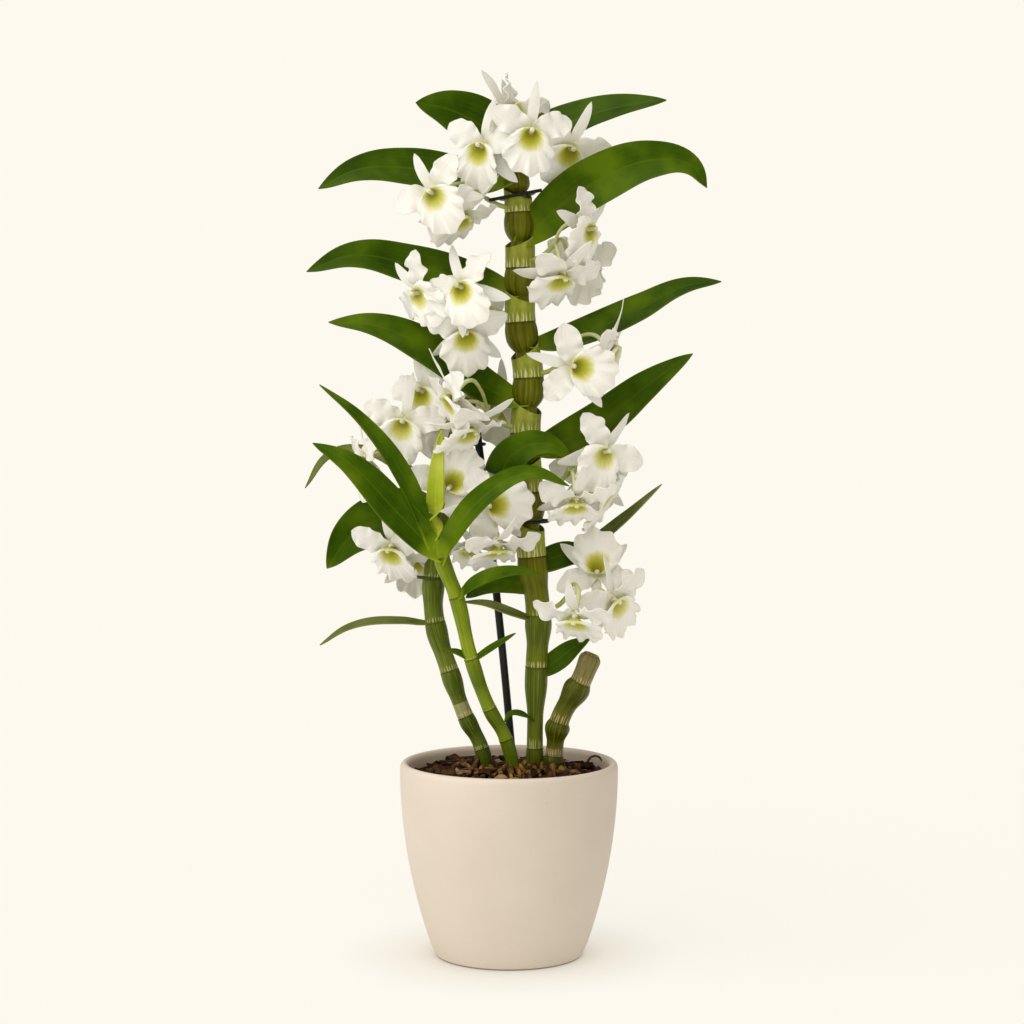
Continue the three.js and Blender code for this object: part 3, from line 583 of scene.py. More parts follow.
def cane_radius(share, foot, head, form):
    """A cane's radius between two joints, a share of the way up: drawn in above the joint, then swollen."""
    waist = form[0] * foot
    belly = form[1] * (0.25 * foot + 0.75 * head)
    if share < 0.22:
        return foot + (waist - foot) * math.sin(math.pi / 2 * share / 0.22)
    if share < 0.36:
        return waist
    if share < 0.82:
        return waist + (belly - waist) * 0.5 * (1 - math.cos(math.pi * (share - 0.36) / 0.46))
    return belly + (head - belly) * (1 - math.cos(math.pi / 2 * (share - 0.82) / 0.18))


def bulb_radius(share, foot, head, form):
    """A cane's radius where a sheath hugs its foot: a neck inside the sheath that swells to a bulb over it."""
    body = cane_radius(share, foot, head, form)
    neck = 0.9 * body - 0.5 * mm
    if share < 0.3:
        return neck
    egg_bottom = 0.6 * head
    if share < 0.48:
        return neck + (egg_bottom - neck) * (share - 0.3) / 0.18
    if share < 0.72:
        return egg_bottom + (body - egg_bottom) * math.sin(math.pi / 2 * (share - 0.48) / 0.24) ** 0.75
    return body


CANE_SHARES = [0.0, 0.015, 0.03, 0.08, 0.16, 0.25, 0.34, 0.42, 0.47, 0.5, 0.54, 0.59, 0.64, 0.7, 0.76, 0.83, 0.9, 0.96, 0.985]


def joint_share(places, height):
    """The joint below a height on the straight cane, plus the share of the way to the next."""
    for i in range(len(places) - 1):
        if height < places[i + 1] or i == len(places) - 2:
            return i + (height - places[i]) / (places[i + 1] - places[i])


def model_cane(name, joints, form, places, spans, blunt):
    rings = []
    for i in range(len(joints) - 1):
        foot, head = joints[i][3] * mm, joints[i + 1][3] * mm
        length = places[i + 1] - places[i]
        shape = bulb_radius if i in spans else cane_radius
        for share in CANE_SHARES:
            radius = shape(share, foot, head, form)
            if share == 0.0:
                radius = foot + 0.25 * mm
            elif share < 0.02:
                radius -= 0.3 * mm
            rings.append((radius, places[i] + share * length))
    tip = joints[-1][3] * mm
    rings.append((tip, places[-1]))
    if blunt:
        rings += [(0.93 * tip, places[-1] + 0.5 * mm), (0.7 * tip, places[-1] + 0.2 * mm), (0.25 * tip, places[-1] - 0.6 * mm)]
    else:
        rings += [(0.8 * tip, places[-1] + 2.2 * mm), (0.45 * tip, places[-1] + 4.2 * mm), (0.12 * tip, places[-1] + 5.4 * mm)]
    bpy.ops.object.select_all(action="DESELECT")
    bpy.ops.mesh.primitive_circle_add(vertices=28, radius=rings[0][0], fill_type="NGON", location=(0, 0, 0))
    piece = open_piece(name + "_stem")
    bpy.ops.mesh.region_to_loop()
    draw_rings(rings)
    bpy.ops.mesh.merge(type="CENTER")
    close_piece(piece, crease=70)
    remember(piece, "round", lambda p: (
        p.x / max(p.xy.length, 0.1 * mm), p.y / max(p.xy.length, 0.1 * mm), joint_share(places, p.z)))
    return piece


def model_sheaths(name, joints, form, places, first_leaf, spans, mouth=0.5):
    """The leaf sheaths of one cane: tight sleeves round the lower half of each span. A sheath's mouth
    rises on the side of its leaf and dips a little at the front."""
    bpy.ops.object.select_all(action="DESELECT")
    sleeves = []
    for i in spans:
        foot, head = joints[i][3] * mm, joints[i + 1][3] * mm
        length = places[i + 1] - places[i]
        leaf_side = first_leaf if i % 2 else -first_leaf
        rings = []
        for share in [0.006, 0.03, 0.07, 0.13, 0.2, 0.28, 0.36, 0.44, 0.5, 0.56, 0.62, 0.68]:
            radius = cane_radius(min(share, 0.36), foot, head, form)
            rings.append((radius + 0.05 * mm, places[i] + share * length))
        bpy.ops.object.select_all(action="DESELECT")
        bpy.ops.mesh.primitive_circle_add(vertices=36, radius=rings[0][0], fill_type="NOTHING",
                                          location=(0, 0, rings[0][1]))
        sleeve = open_piece(f"{name}_sleeve_{i}")
        draw_rings([(radius, height - rings[0][1]) for radius, height in rings])
        bpy.ops.mesh.select_all(action="SELECT")
        bpy.ops.mesh.bisect(
            plane_co=(0, 0, places[i] + mouth * length), plane_no=(0.4 * leaf_side, 0.3, 1), clear_outer=True)
        close_piece(sleeve, crease=60)
        bpy.ops.object.transform_apply(location=True, rotation=True, scale=True)
        remember(sleeve, "round", lambda p: (
            p.x / p.xy.length, p.y / p.xy.length, (p.z - places[i]) / length))
        sleeves.append(sleeve)
    piece = join(sleeves, name + "_sheaths")
    skin = piece.modifiers.new("skin", "SOLIDIFY")
    skin.thickness = 0.35 * mm
    skin.offset = 1
    bpy.ops.object.modifier_apply(modifier="skin")
    return piece


def fringe_streaks(finish, around, share, reach):
    """Where the pale fibres right above a joint show: some twenty short streaks round the cane."""
    parts = put(finish, "SeparateXYZ", {"Vector": around}).outputs
    angle = sums(finish, "ARCTAN2", parts["Y"], parts["X"])
    turns = sums(finish, "MULTIPLY", angle, 21 / (2 * math.pi))
    stray = sums(finish, "MULTIPLY", grain(finish, stretched(finish, around, 2.5, 2.5, 1.7), 1.8, detail=1), 1.6)
    comb = sums(finish, "FRACT", sums(finish, "ADD", turns, stray))
    teeth = ramp(finish, comb, [(0.22, 0.0), (0.38, 1.0), (0.5, 1.0), (0.66, 0.0)])
    tall = grain(finish, stretched(finish, around, 6, 6, 1.0), 1.7, detail=1)
    height = sums(finish, "ADD", share, sums(finish, "MULTIPLY", sums(finish, "SUBTRACT", tall, 0.5), 0.9 * reach))
    near_joint = ramp(finish, height, [(0.0, 1.0), (0.55 * reach, 0.85), (reach, 0.0)])
    return sums(finish, "MULTIPLY", teeth, near_joint)


def cane_finish(name, shade, mid, light, fringe, low_tones, low_spans, fringe_reach=0.13,
                dry=(), dry_tones=((0.36, 0.27, 0.14), (0.62, 0.55, 0.36))):
    """Glossy skin of a cane with fine lines along it, in other tones over its lowest spans. Above a joint
    it is paler with a fringe of fibres. Dry gives the joints with papery skin over them, and how far up."""
    finish = new_finish(name, roughness=0.34)
    shader = finish.node_tree.nodes["Principled BSDF"]
    shader.inputs["Specular IOR Level"].default_value = 0.3
    shader.inputs["Specular Tint"].default_value = (0.9, 1.0, 0.45, 1)
    around = put(finish, "Attribute", {}, attribute_name="round").outputs["Vector"]
    height = put(finish, "SeparateXYZ", {"Vector": around}).outputs["Z"]
    share = sums(finish, "FRACT", height)
    streaks = grain(finish, stretched(finish, around, 5, 5, 0.5), 1.6, detail=5, roughness=0.6)
    fine = grain(finish, stretched(finish, around, 14, 14, 0.35), 1.6, detail=3)
    colour = ramp(finish, streaks, [(0.3, shade), (0.5, mid), (0.68, light)])
    low_shade, low_mid, low_light = low_tones
    low_colour = ramp(finish, streaks, [(0.3, low_shade), (0.5, low_mid), (0.68, low_light)])
    is_low = ramp(finish, sums(finish, "DIVIDE", height, 2 * low_spans), [(0.42, 1.0), (0.53, 0.0)])
    colour = blend(finish, is_low, colour, low_colour)
    patches = grain(finish, stretched(finish, around, 1, 1, 1.3), 1.5, detail=3)
    colour = blend(finish, ramp(finish, patches, [(0.42, 0.0), (0.68, 0.5)]), colour, shade)
    paler = ramp(finish, share, [(0.0, 0.5), (0.3, 0.28), (0.5, 0.0)])
    colour = blend(finish, paler, colour, light)
    for joint, reach in dry:
        here = put(finish, "Math", {0: height, 1: joint + reach / 2, 2: reach / 2}, operation="COMPARE")
        papery = ramp(finish, fine, [(0.35, dry_tones[0]), (0.62, dry_tones[1])])
        colour = blend(finish, here.outputs[0], colour, papery)
    colour = blend(finish, fringe_streaks(finish, around, share, fringe_reach), colour, fringe)
    seam = ramp(finish, share, [(0.0, 0.75), (0.012, 0.0), (0.965, 0.0), (0.992, 0.7), (1.0, 0.75)])
    colour = blend(finish, seam, colour, (0.05, 0.035, 0.004))
    surface(
        finish,
        colour=colour,
        roughness=ramp(finish, fine, [(0.3, 0.28), (0.7, 0.45)]),
        relief=fine,
        depth=0.07 * mm,
    )
    return finish


def sheath_finish(name, base, pale, fringe):
    """Thin green sheath, finely ribbed, with a whitish fringe of fibres right above the joint."""
    finish = new_finish(name, roughness=0.45)
    shader = finish.node_tree.nodes["Principled BSDF"]
    shader.inputs["Specular IOR Level"].default_value = 0.25
    shader.inputs["Specular Tint"].default_value = (0.95, 1.0, 0.55, 1)
    around = put(finish, "Attribute", {}, attribute_name="round").outputs["Vector"]
    share = put(finish, "SeparateXYZ", {"Vector": around}).outputs["Z"]
    ribs = grain(finish, stretched(finish, around, 11, 11, 0.25), 1.8, detail=4, roughness=0.6)
    broad = grain(finish, stretched(finish, around, 1.3, 1.3, 1.5), 1.5, detail=3)
    colour = blend(finish, ramp(finish, broad, [(0.35, 0.0), (0.65, 1.0)]), base, pale)
    lines = ramp(finish, ribs, [(0.42, 0.0), (0.66, 0.45)])
    colour = blend(finish, lines, colour, pale)
    colour = blend(finish, fringe_streaks(finish, around, share, 0.2), colour, fringe)
    rim = ramp(finish, share, [(0.0, 0.8), (0.014, 0.0)])
    colour = blend(finish, rim, colour, (0.10, 0.07, 0.012))
    surface(finish, colour=colour, relief=ribs, depth=0.09 * mm)
    return finish


CANE_LOOKS = {
    "main_cane": {
        "stem": cane_finish(
            "main_cane_skin", (0.055, 0.05, 0.0008), (0.125, 0.128, 0.001), (0.2, 0.215, 0.008), (0.62, 0.62, 0.25),
            low_tones=[(0.03, 0.05, 0.001), (0.085, 0.12, 0.004), (0.18, 0.22, 0.03)], low_spans=3.6,
            dry=[(11, 0.9)]),
        "sheath": sheath_finish("main_sheath", (0.19, 0.225, 0.01), (0.37, 0.395, 0.06), (0.74, 0.72, 0.36)),
        "slot": "cane",
        "spans": range(4, 11),
    },
    "old_cane": {
        "stem": cane_finish(
            "old_cane_skin", (0.028, 0.045, 0.001), (0.08, 0.115, 0.004), (0.18, 0.22, 0.03), (0.6, 0.6, 0.26),
            low_tones=[(0.02, 0.038, 0.001), (0.06, 0.095, 0.003), (0.14, 0.18, 0.02)], low_spans=2,
            dry=[(2, 0.3)], dry_tones=((0.17, 0.17, 0.05), (0.42, 0.38, 0.19))),
        "slot": "old_cane",
        "spans": [],
    },
    "new_shoot": {
        "stem": cane_finish(
            "new_shoot_skin", (0.09, 0.14, 0.002), (0.155, 0.22, 0.004), (0.29, 0.37, 0.02), (0.46, 0.5, 0.1),
            low_tones=[(0.04, 0.075, 0.001), (0.075, 0.12, 0.0015), (0.16, 0.22, 0.008)], low_spans=3,
            fringe_reach=0.05),
        "slot": "shoot",
        "spans": [],
    },
    "cut_cane": {
        "stem": cane_finish(
            "cut_cane_skin", (0.02, 0.022, 0.0006), (0.07, 0.078, 0.002), (0.16, 0.16, 0.012), (0.55, 0.46, 0.2),
            low_tones=[(0.012, 0.016, 0.0006), (0.045, 0.05, 0.002), (0.13, 0.12, 0.015)], low_spans=1.4,
            fringe_reach=0.26, dry=[(3, 1.2), (1, 0.22)], dry_tones=((0.08, 0.075, 0.01), (0.27, 0.215, 0.09))),
        "slot": "cane",
        "spans": [],
    },
}

for name, cane in CANES.items():
    look = CANE_LOOKS[name]
    rib = draw_rib(cane["joints"], twist="MINIMUM", upright=True)
    places = knot_places(rib)
    stem = model_cane(name, cane["joints"], cane["form"], places, look["spans"], blunt=name == "cut_cane")
    bend(stem, rib, "POS_Z")
    stem.data.materials.append(look["stem"])
    stands_for(stem, look["slot"], name)
    if look["spans"]:
        sheaths = model_sheaths(name, cane["joints"], cane["form"], places, cane["first_leaf"], look["spans"])
        bend(sheaths, rib, "POS_Z")
        sheaths.data.materials.append(look["sheath"])
        stands_for(sheaths, look["slot"], name)
    bpy.data.objects.remove(rib)

# ==== Stakes and ties ====
# Two thin black plastic stakes stand in the mix behind the canes, which black wire ties hold to them.
# The stakes have rounded tops; the ties are bent round by hand with their ends left sticking out.
STAKES = {
    "stake_main": [(17, 12.2, 90), (10, 12.6, 300), (6, 12.2, 476)],
    "stake_side": [(5, 13, 90), (-8, 13, 225), (-20, 12.6, 326)],
}
stake_radius = 2.4 * mm

def plastic_finish(name, deep, worn):
    """Drawn plastic with faint lines along it."""
    finish = new_finish(name, roughness=0.42)
    finish.node_tree.nodes["Principled BSDF"].inputs["Specular IOR Level"].default_value = 0.25
    moulding = own_place(finish)
    surface(
        finish,
        colour=ramp(finish, grain(finish, stretched(finish, moulding, 1, 1, 0.15), 300), [(0.3, deep), (0.7, worn)]),
        roughness=ramp(finish, grain(finish, stretched(finish, moulding, 1, 1, 0.1), 500), [(0.3, 0.3), (0.7, 0.48)]),
    )
    return finish


black_plastic = plastic_finish("black_plastic", (0.004, 0.005, 0.004), (0.014, 0.016, 0.013))
green_plastic = plastic_finish("green_plastic", (0.035, 0.05, 0.006), (0.07, 0.09, 0.015))

for name, line in STAKES.items():
    rib = draw_rib(line, twist="MINIMUM")
    length = knot_places(rib)[-1]
    bpy.ops.object.select_all(action="DESELECT")
    bpy.ops.mesh.primitive_circle_add(vertices=20, radius=0.4 * stake_radius, fill_type="NGON", location=(0, 0, 0))
    stake = open_piece(name + "_rod")
    bpy.ops.mesh.region_to_loop()
    shaft = [(stake_radius, 5 * mm + (length - 8 * mm) * i / 24) for i in range(25)]
    point = [(0.4 * stake_radius, 0), (0.7 * stake_radius, 1.5 * mm)]
    top = [(0.92 * stake_radius, length - 1.6 * mm), (0.7 * stake_radius, length - 0.6 * mm), (0.3 * stake_radius, length)]
    draw_rings(point + shaft + top)
    bpy.ops.mesh.merge(type="CENTER")
    close_piece(stake, crease=50)
    bend(stake, rib, "POS_Z")
    bpy.data.objects.remove(rib)
    stake.data.materials.append(black_plastic)
    stands_for(stake, "black_plastic", name)

TIES = {
    "tie_top": {
        "height": 468, "slope": 0.19, "round": [(5.2, 0, 8.9), (6, 12.2, 2.3)],
        "tails": [[(-12, -10.2, 464.7), (4, -10.2, 467.8), (20, -10.2, 470.8)]],
    },
    "tie_middle": {
        "height": 269, "slope": 0.0, "round": [(13, 0, 9.8), (11, 13, 2.3)],
        "tails": [[(18, -9.8, 269), (24, -8, 270), (29, -5, 271)]],
    },
    "tie_old_top": {"height": 316, "slope": 0.0, "round": [(-32.7, 19.6, 6.9), (-18.8, 12.6, 2.3)], "tails": []},
    "tie_old_low": {
        "height": 233, "slope": 0.0, "round": [(-47, 14, 7)],
        "tails": [[(-49, 5.9, 233), (-53, 5.7, 233.5), (-57, 5.4, 234)]],
    },
}
wire = 1.05
thin_wire = 0.45


def tie_loop(height, slope, stems, thickness, slack):
    """The wire's way round the stems that it holds, taut between them."""
    loop = []
    for i in range(33):
        angle = 2 * math.pi * i / 32
        out = Vector((math.cos(angle), math.sin(angle)))
        x, y, radius = max(stems, key=lambda stem: out.dot(stem[:2]) + stem[2])
        spot = Vector((x, y)) + out * (radius + slack)
        loop.append((spot.x, spot.y, height + slope * (spot.x - stems[0][0]), thickness))
    return loop


for name, tie in TIES.items():
    is_thin = name == "tie_old_low"
    gauge, slack = (thin_wire, 0.0) if is_thin else (wire, 1.3)
    lines = [tie_loop(tie["height"], tie["slope"], tie["round"], gauge, slack)]
    lines += [[(*spot, wire) for spot in tail] for tail in tie["tails"]]
    wires = draw_tubes(name + "_wire", lines, sides=2)
    wires.data.materials.append(green_plastic if is_thin else black_plastic)
    stands_for(wires, "black_plastic", name)

# ==== The leaves ====
# Strap leaves in two ranks, glossy above and paler below, with a sunk midrib and fine lines along them.
# One blade is modelled flat and copied; each copy is drawn to its size and bent along its own midrib.
LEAVES = {
    "leaf_main_01": ([(3, 1, 486), (-12, 6, 507), (-34, 5, 520), (-57, 2, 525)], 33, 78, 78),
    "leaf_main_02": ([(3, 3, 485), (15, 18, 503), (33, 25, 513), (62, 23, 523), (97, 16, 528)], 30, 50, 42),
    "leaf_main_03": ([(4, 0, 474), (-30, 5, 480), (-60, 3, 485), (-91, -2, 484), (-116, -6, 472)], 28, 58, 62),
    "leaf_main_04": (
        [(7, 0, 438), (28, -7, 459), (55, -11, 477), (88, -11, 489), (110, -11, 486), (120, -12, 472)], 31, 80, 70),
    "leaf_main_05": ([(7, 0, 405), (-20, 5, 415), (-60, 8, 426), (-95, 4, 432), (-124, 0, 422)], 28, 56, 64),
    "leaf_main_06": ([(10, 0, 373), (48, 5, 385), (80, 6, 399), (108, 3, 413), (130, 0, 416)], 25, 38, 45),
    "leaf_main_07": ([(11, 0, 339), (-14, -3, 351), (-50, -7, 375), (-82, -8, 389), (-110, -8, 391)], 27, 54, 54),
    "leaf_main_08": ([(11, 2, 309), (36, 7, 319), (60, 9, 332), (85, 8, 352), (113, 4, 372)], 27, 60, 50),
    "leaf_main_09": (
        [(12, -2, 274), (2, -14, 284), (-4, -18, 299), (8, -27, 315), (25, -31, 317), (38, -31, 308)], 22, 72, 72),
    "leaf_main_10": ([(15, 3, 235), (42, 16, 247), (70, 19, 268), (95, 16, 291)], 10, 40, 35),
    "leaf_main_11": ([(16, 1, 226), (2, 3, 231), (-12, 5, 230), (-27, 5, 221)], 15, 72, 72),
    "leaf_main_12": ([(14, 2, 240), (28, 4, 246), (41, 7, 248), (54, 10, 240)], 17, 66, 60),
    "leaf_main_13": ([(17, 0, 207), (0, -9, 214), (-14, -10, 219), (-28, -10, 220)], 7, 40, 40),
    "leaf_main_14": ([(17, 0, 174), (30, -1, 183), (40, -2, 191), (50, -4, 197)], 14, 62, 62),
    "leaf_main_15": ([(16, 2, 143), (9, -8, 150), (1, -10, 151), (-3, -13, 146)], 6, 30, 30),
    "leaf_shoot_1": ([(-41, -21, 246), (-34, -38, 263), (-11, -52, 290), (13, -54, 301), (36, -50, 293)], 14.5, 60, 56),
    "leaf_shoot_2": ([(-44, -21, 254), (-44.5, -24, 280), (-43.5, -26.5, 304), (-40.5, -28.5, 326)], 10.5, 78, 78),
    "leaf_shoot_3": ([(-45, -23, 252), (-64, -31, 299), (-88, -32, 331), (-114, -28, 353)], 12, 66, 25),
    "leaf_shoot_4": ([(-41, -22, 247), (-69, -34, 278), (-96, -36, 306), (-118, -32, 318)], 21.5, 72, 45),
    "leaf_shoot_5": ([(-32, -20, 222), (-20, -31, 234), (0, -36, 241), (19, -36, 240)], 9.5, 50, 50),
    "leaf_shoot_6": ([(-23, -18, 184), (-12, -20, 192), (4, -21, 202)], 5, 40, 40),
    "leaf_shoot_7": ([(-23, -18, 185), (-31, -20, 190), (-38, -20, 192)], 5, 40, 40),
    "leaf_old_1": ([(-40, 18, 288), (-66, 30, 300), (-90, 35, 311), (-112, 32, 309), (-128, 28, 288)], 10, 34, 34),
    "leaf_old_2": ([(-42, 17, 276), (-74, 26, 271), (-98, 26, 259), (-114, 20, 238)], 32, 82, 82),
    "leaf_old_3": ([(-46, 12, 203), (-68, 9, 206), (-98, 5, 203), (-117, 2, 192)], 10, 20, 20),
}


def pick(piece, test):
    """In edit mode: selects the vertices that pass the test on their place."""
    mesh = bmesh.from_edit_mesh(piece.data)
    for vertex in mesh.verts:
        vertex.select = test(vertex.co)
    mesh.select_flush_mode()
    bmesh.update_edit_mesh(piece.data)


def press(piece, name, by):
    """Presses a thin piece into shape: moves each vertex by a vector worked out from its stored place."""
    for stored, vertex in zip(piece.data.attributes[name].data, piece.data.vertices):
        vertex.co += Vector(by(*stored.vector))


def model_blade(name, columns, rows, outline, hollow, fold=0.0, pinch=0.0, wave=None):
    """A blade of length 1 and half width 1 along +X: a flat grid drawn in to its outline column by column.
    Its edges are lifted by hollow, and more at its foot by fold, where pinch makes it narrower. Wave lifts
    each place on its own."""
    bpy.ops.object.select_all(action="DESELECT")
    bpy.ops.mesh.primitive_grid_add(x_subdivisions=columns, y_subdivisions=rows, size=2, location=(0, 0, 0))
    piece = open_piece(name)
    bpy.ops.mesh.select_mode(type="VERT")
    bpy.ops.transform.resize(value=(0.5, 1, 1), center_override=(0, 0, 0))
    bpy.ops.transform.translate(value=(0.5, 0, 0))
    bpy.ops.object.mode_set(mode="OBJECT")
    remember(piece, "blade", lambda p: (p.x, p.y, 0))
    bpy.ops.object.mode_set(mode="EDIT")
    for i in range(columns + 1):
        along = i / columns
        width = max(outline(along), 0.004) * (1 - pinch * near_foot(along))
        pick(piece, lambda p: abs(p.x - along) < 0.3 / columns)
        bpy.ops.transform.resize(value=(1, width, 1), center_override=(along, 0, 0))
    bpy.ops.object.mode_set(mode="OBJECT")

    def lift(along, side, _):
        width = outline(along)
        rise = (hollow * width + fold * near_foot(along)) * abs(side) ** 1.6
        rise -= 0.035 * width * math.exp(-((side / 0.16) ** 2))
        return (0, 0, rise + (wave(along, side) if wave else 0))

    press(piece, "blade", lift)
    return piece


def near_foot(along):
    """1 at the foot of a blade, 0 from a sixth of its length on."""
    return max(0.0, 1 - along / 0.16) ** 2


def thicken(piece, thickness, smooth_levels=1, underside=0):
    """Rounds the blade off with a subdivision and gives it its thickness, half to each side of its face."""
    bpy.ops.object.select_all(action="DESELECT")
    bpy.context.view_layer.objects.active = piece
    piece.select_set(True)
    if smooth_levels:
        rounded = piece.modifiers.new("rounded", "SUBSURF")
        rounded.levels = smooth_levels
        rounded.render_levels = smooth_levels
        bpy.ops.object.modifier_apply(modifier="rounded")
    skin = piece.modifiers.new("skin", "SOLIDIFY")
    skin.thickness = thickness
    skin.offset = 0
    skin.material_offset = underside
    bpy.ops.object.modifier_apply(modifier="skin")
    bpy.ops.object.shade_smooth_by_angle(angle=math.radians(80))


def lean_rib(rib, lean_foot, lean_tip):
    """Turns a rib's knots so that a blade along it leans from lying flat (0) to facing the front (90)."""
    knots = rib.data.splines[0].bezier_points
    places = knot_places(rib)
    for knot, place in zip(knots, places):
        lean = math.radians(lean_foot + (lean_tip - lean_foot) * place / places[-1])
        facing = Vector((0, -math.sin(lean), math.cos(lean)))
        along = (knot.handle_right - knot.handle_left).normalized()
        level = (Vector((0, 0, 1)) - along * along.z).normalized()
        wanted = (facing - along * facing.dot(along)).normalized()
        knot.tilt = math.atan2(level.cross(wanted).dot(along), level.dot(wanted))
    bpy.context.view_layer.update()


def leaf_finish(name, shade, mid, light, foot, roughness=0.36):
    """Waxy leaf skin with fine lines from foot to tip, a paler midrib and a pale foot."""
    finish = new_finish(name, roughness=roughness)
    finish.node_tree.nodes["Principled BSDF"].inputs["Specular IOR Level"].default_value = 0.18
    finish.node_tree.nodes["Principled BSDF"].inputs["Specular Tint"].default_value = (0.75, 1.0, 0.2, 1)
    blade = put(finish, "Attribute", {}, attribute_name="blade").outputs["Vector"]
    parts = put(finish, "SeparateXYZ", {"Vector": blade}).outputs
    clouds = grain(finish, own_place(finish), 38, detail=3)
    lines = grain(finish, stretched(finish, blade, 0.7, 17, 1), 2.0, detail=4, roughness=0.6)
    colour = ramp(finish, clouds, [(0.32, shade), (0.5, mid), (0.7, light)])
    colour = blend(finish, ramp(finish, lines, [(0.45, 0.0), (0.7, 0.4)]), colour, light)
    across = sums(finish, "ABSOLUTE", parts["Y"])
    midrib = ramp(finish, across, [(0.0, 0.5), (0.035, 0.25), (0.08, 0.0)])
    colour = blend(finish, midrib, colour, light)
    margin = ramp(finish, across, [(0.93, 0.0), (1.0, 0.45)])
    colour = blend(finish, margin, colour, light)
    pale_foot = ramp(finish, parts["X"], [(0.03, 1.0), (0.17, 0.0)])
    colour = blend(finish, pale_foot, colour, foot)
    surface(
        finish,
        colour=colour,
        roughness=ramp(finish, lines, [(0.3, roughness - 0.05), (0.7, roughness + 0.09)]),
        relief=lines,
        depth=0.1 * mm,
    )
    return finish


leaf_upper = leaf_finish(
    "leaf_upper", (0.014, 0.042, 0.0006), (0.032, 0.076, 0.001), (0.085, 0.145, 0.003), (0.2, 0.28, 0.01))
leaf_under = leaf_finish(
    "leaf_under", (0.07, 0.10, 0.012), (0.11, 0.15, 0.025), (0.18, 0.22, 0.05), (0.26, 0.33, 0.04), 0.5)
dull_leaf = leaf_finish(
    "dull_leaf", (0.055, 0.08, 0.008), (0.12, 0.15, 0.03), (0.26, 0.28, 0.1), (0.2, 0.26, 0.03), 0.45)
young_leaf_upper = leaf_finish(
    "young_leaf_upper", (0.018, 0.052, 0.0006), (0.04, 0.092, 0.001), (0.1, 0.165, 0.003), (0.3, 0.4, 0.015))
young_leaf_under = leaf_finish(
    "young_leaf_under", (0.08, 0.13, 0.008), (0.13, 0.19, 0.015), (0.22, 0.28, 0.04), (0.32, 0.4, 0.05), 0.5)
newest_leaf = leaf_finish(
    "newest_leaf", (0.27, 0.34, 0.01), (0.38, 0.46, 0.025), (0.52, 0.58, 0.08), (0.4, 0.48, 0.03), 0.4)
LEAF_LOOKS = {
    "leaf_main": (leaf_upper, leaf_under, "leaf"),
    "leaf_old": (leaf_upper, leaf_under, "leaf"),
    "leaf_shoot": (young_leaf_upper, young_leaf_under, "young_leaf"),
    "leaf_main_10": (dull_leaf, dull_leaf, "leaf"),
    "leaf_main_13": (dull_leaf, leaf_under, "leaf"),
    "leaf_old_1": (dull_leaf, leaf_under, "leaf"),
    "leaf_old_3": (dull_leaf, dull_leaf, "leaf"),
    "leaf_shoot_2": (newest_leaf, newest_leaf, "young_leaf"),
}


def leaf_outline(along):
    return math.sin(math.pi * min(1.0, 0.06 + 0.94 * along) ** 0.86) ** 0.72 if along < 1 else 0.0


def clasping_outline(along):
    """The outline of a young leaf, whose foot is nearly as broad as the cane that it clasps."""
    return max(leaf_outline(along), 0.6 + 1.2 * along if along < 0.3 else 0.0)


blade_form = model_blade("blade_form", 26, 8, leaf_outline, hollow=0.18, fold=0.5, pinch=0.45)
clasping_form = model_blade("clasping_form", 26, 8, clasping_outline, hollow=0.3, fold=0.35)
clasping_leaves = ["leaf_shoot_1", "leaf_shoot_2", "leaf_shoot_3"]

for name, (line, width, lean_foot, lean_tip) in LEAVES.items():
    upper, under, slot = LEAF_LOOKS.get(name, LEAF_LOOKS[name.rsplit("_", 1)[0]])
    rib = draw_rib(line)
    lean_rib(rib, lean_foot, lean_tip)
    length = knot_places(rib)[-1]
    leaf = own_copy(clasping_form if name in clasping_leaves else blade_form, name + "_blade")
    leaf.data.transform(Matrix.Diagonal((length, width / 2 * mm, width / 2 * mm, 1)))
    bend(leaf, rib, "POS_X")
    bpy.data.objects.remove(rib)
    leaf.data.materials.append(upper)
    leaf.data.materials.append(under)
    thicken(leaf, 0.9 * mm, underside=1)
    stands_for(leaf, slot, name)
bpy.data.objects.remove(blade_form)
bpy.data.objects.remove(clasping_form)

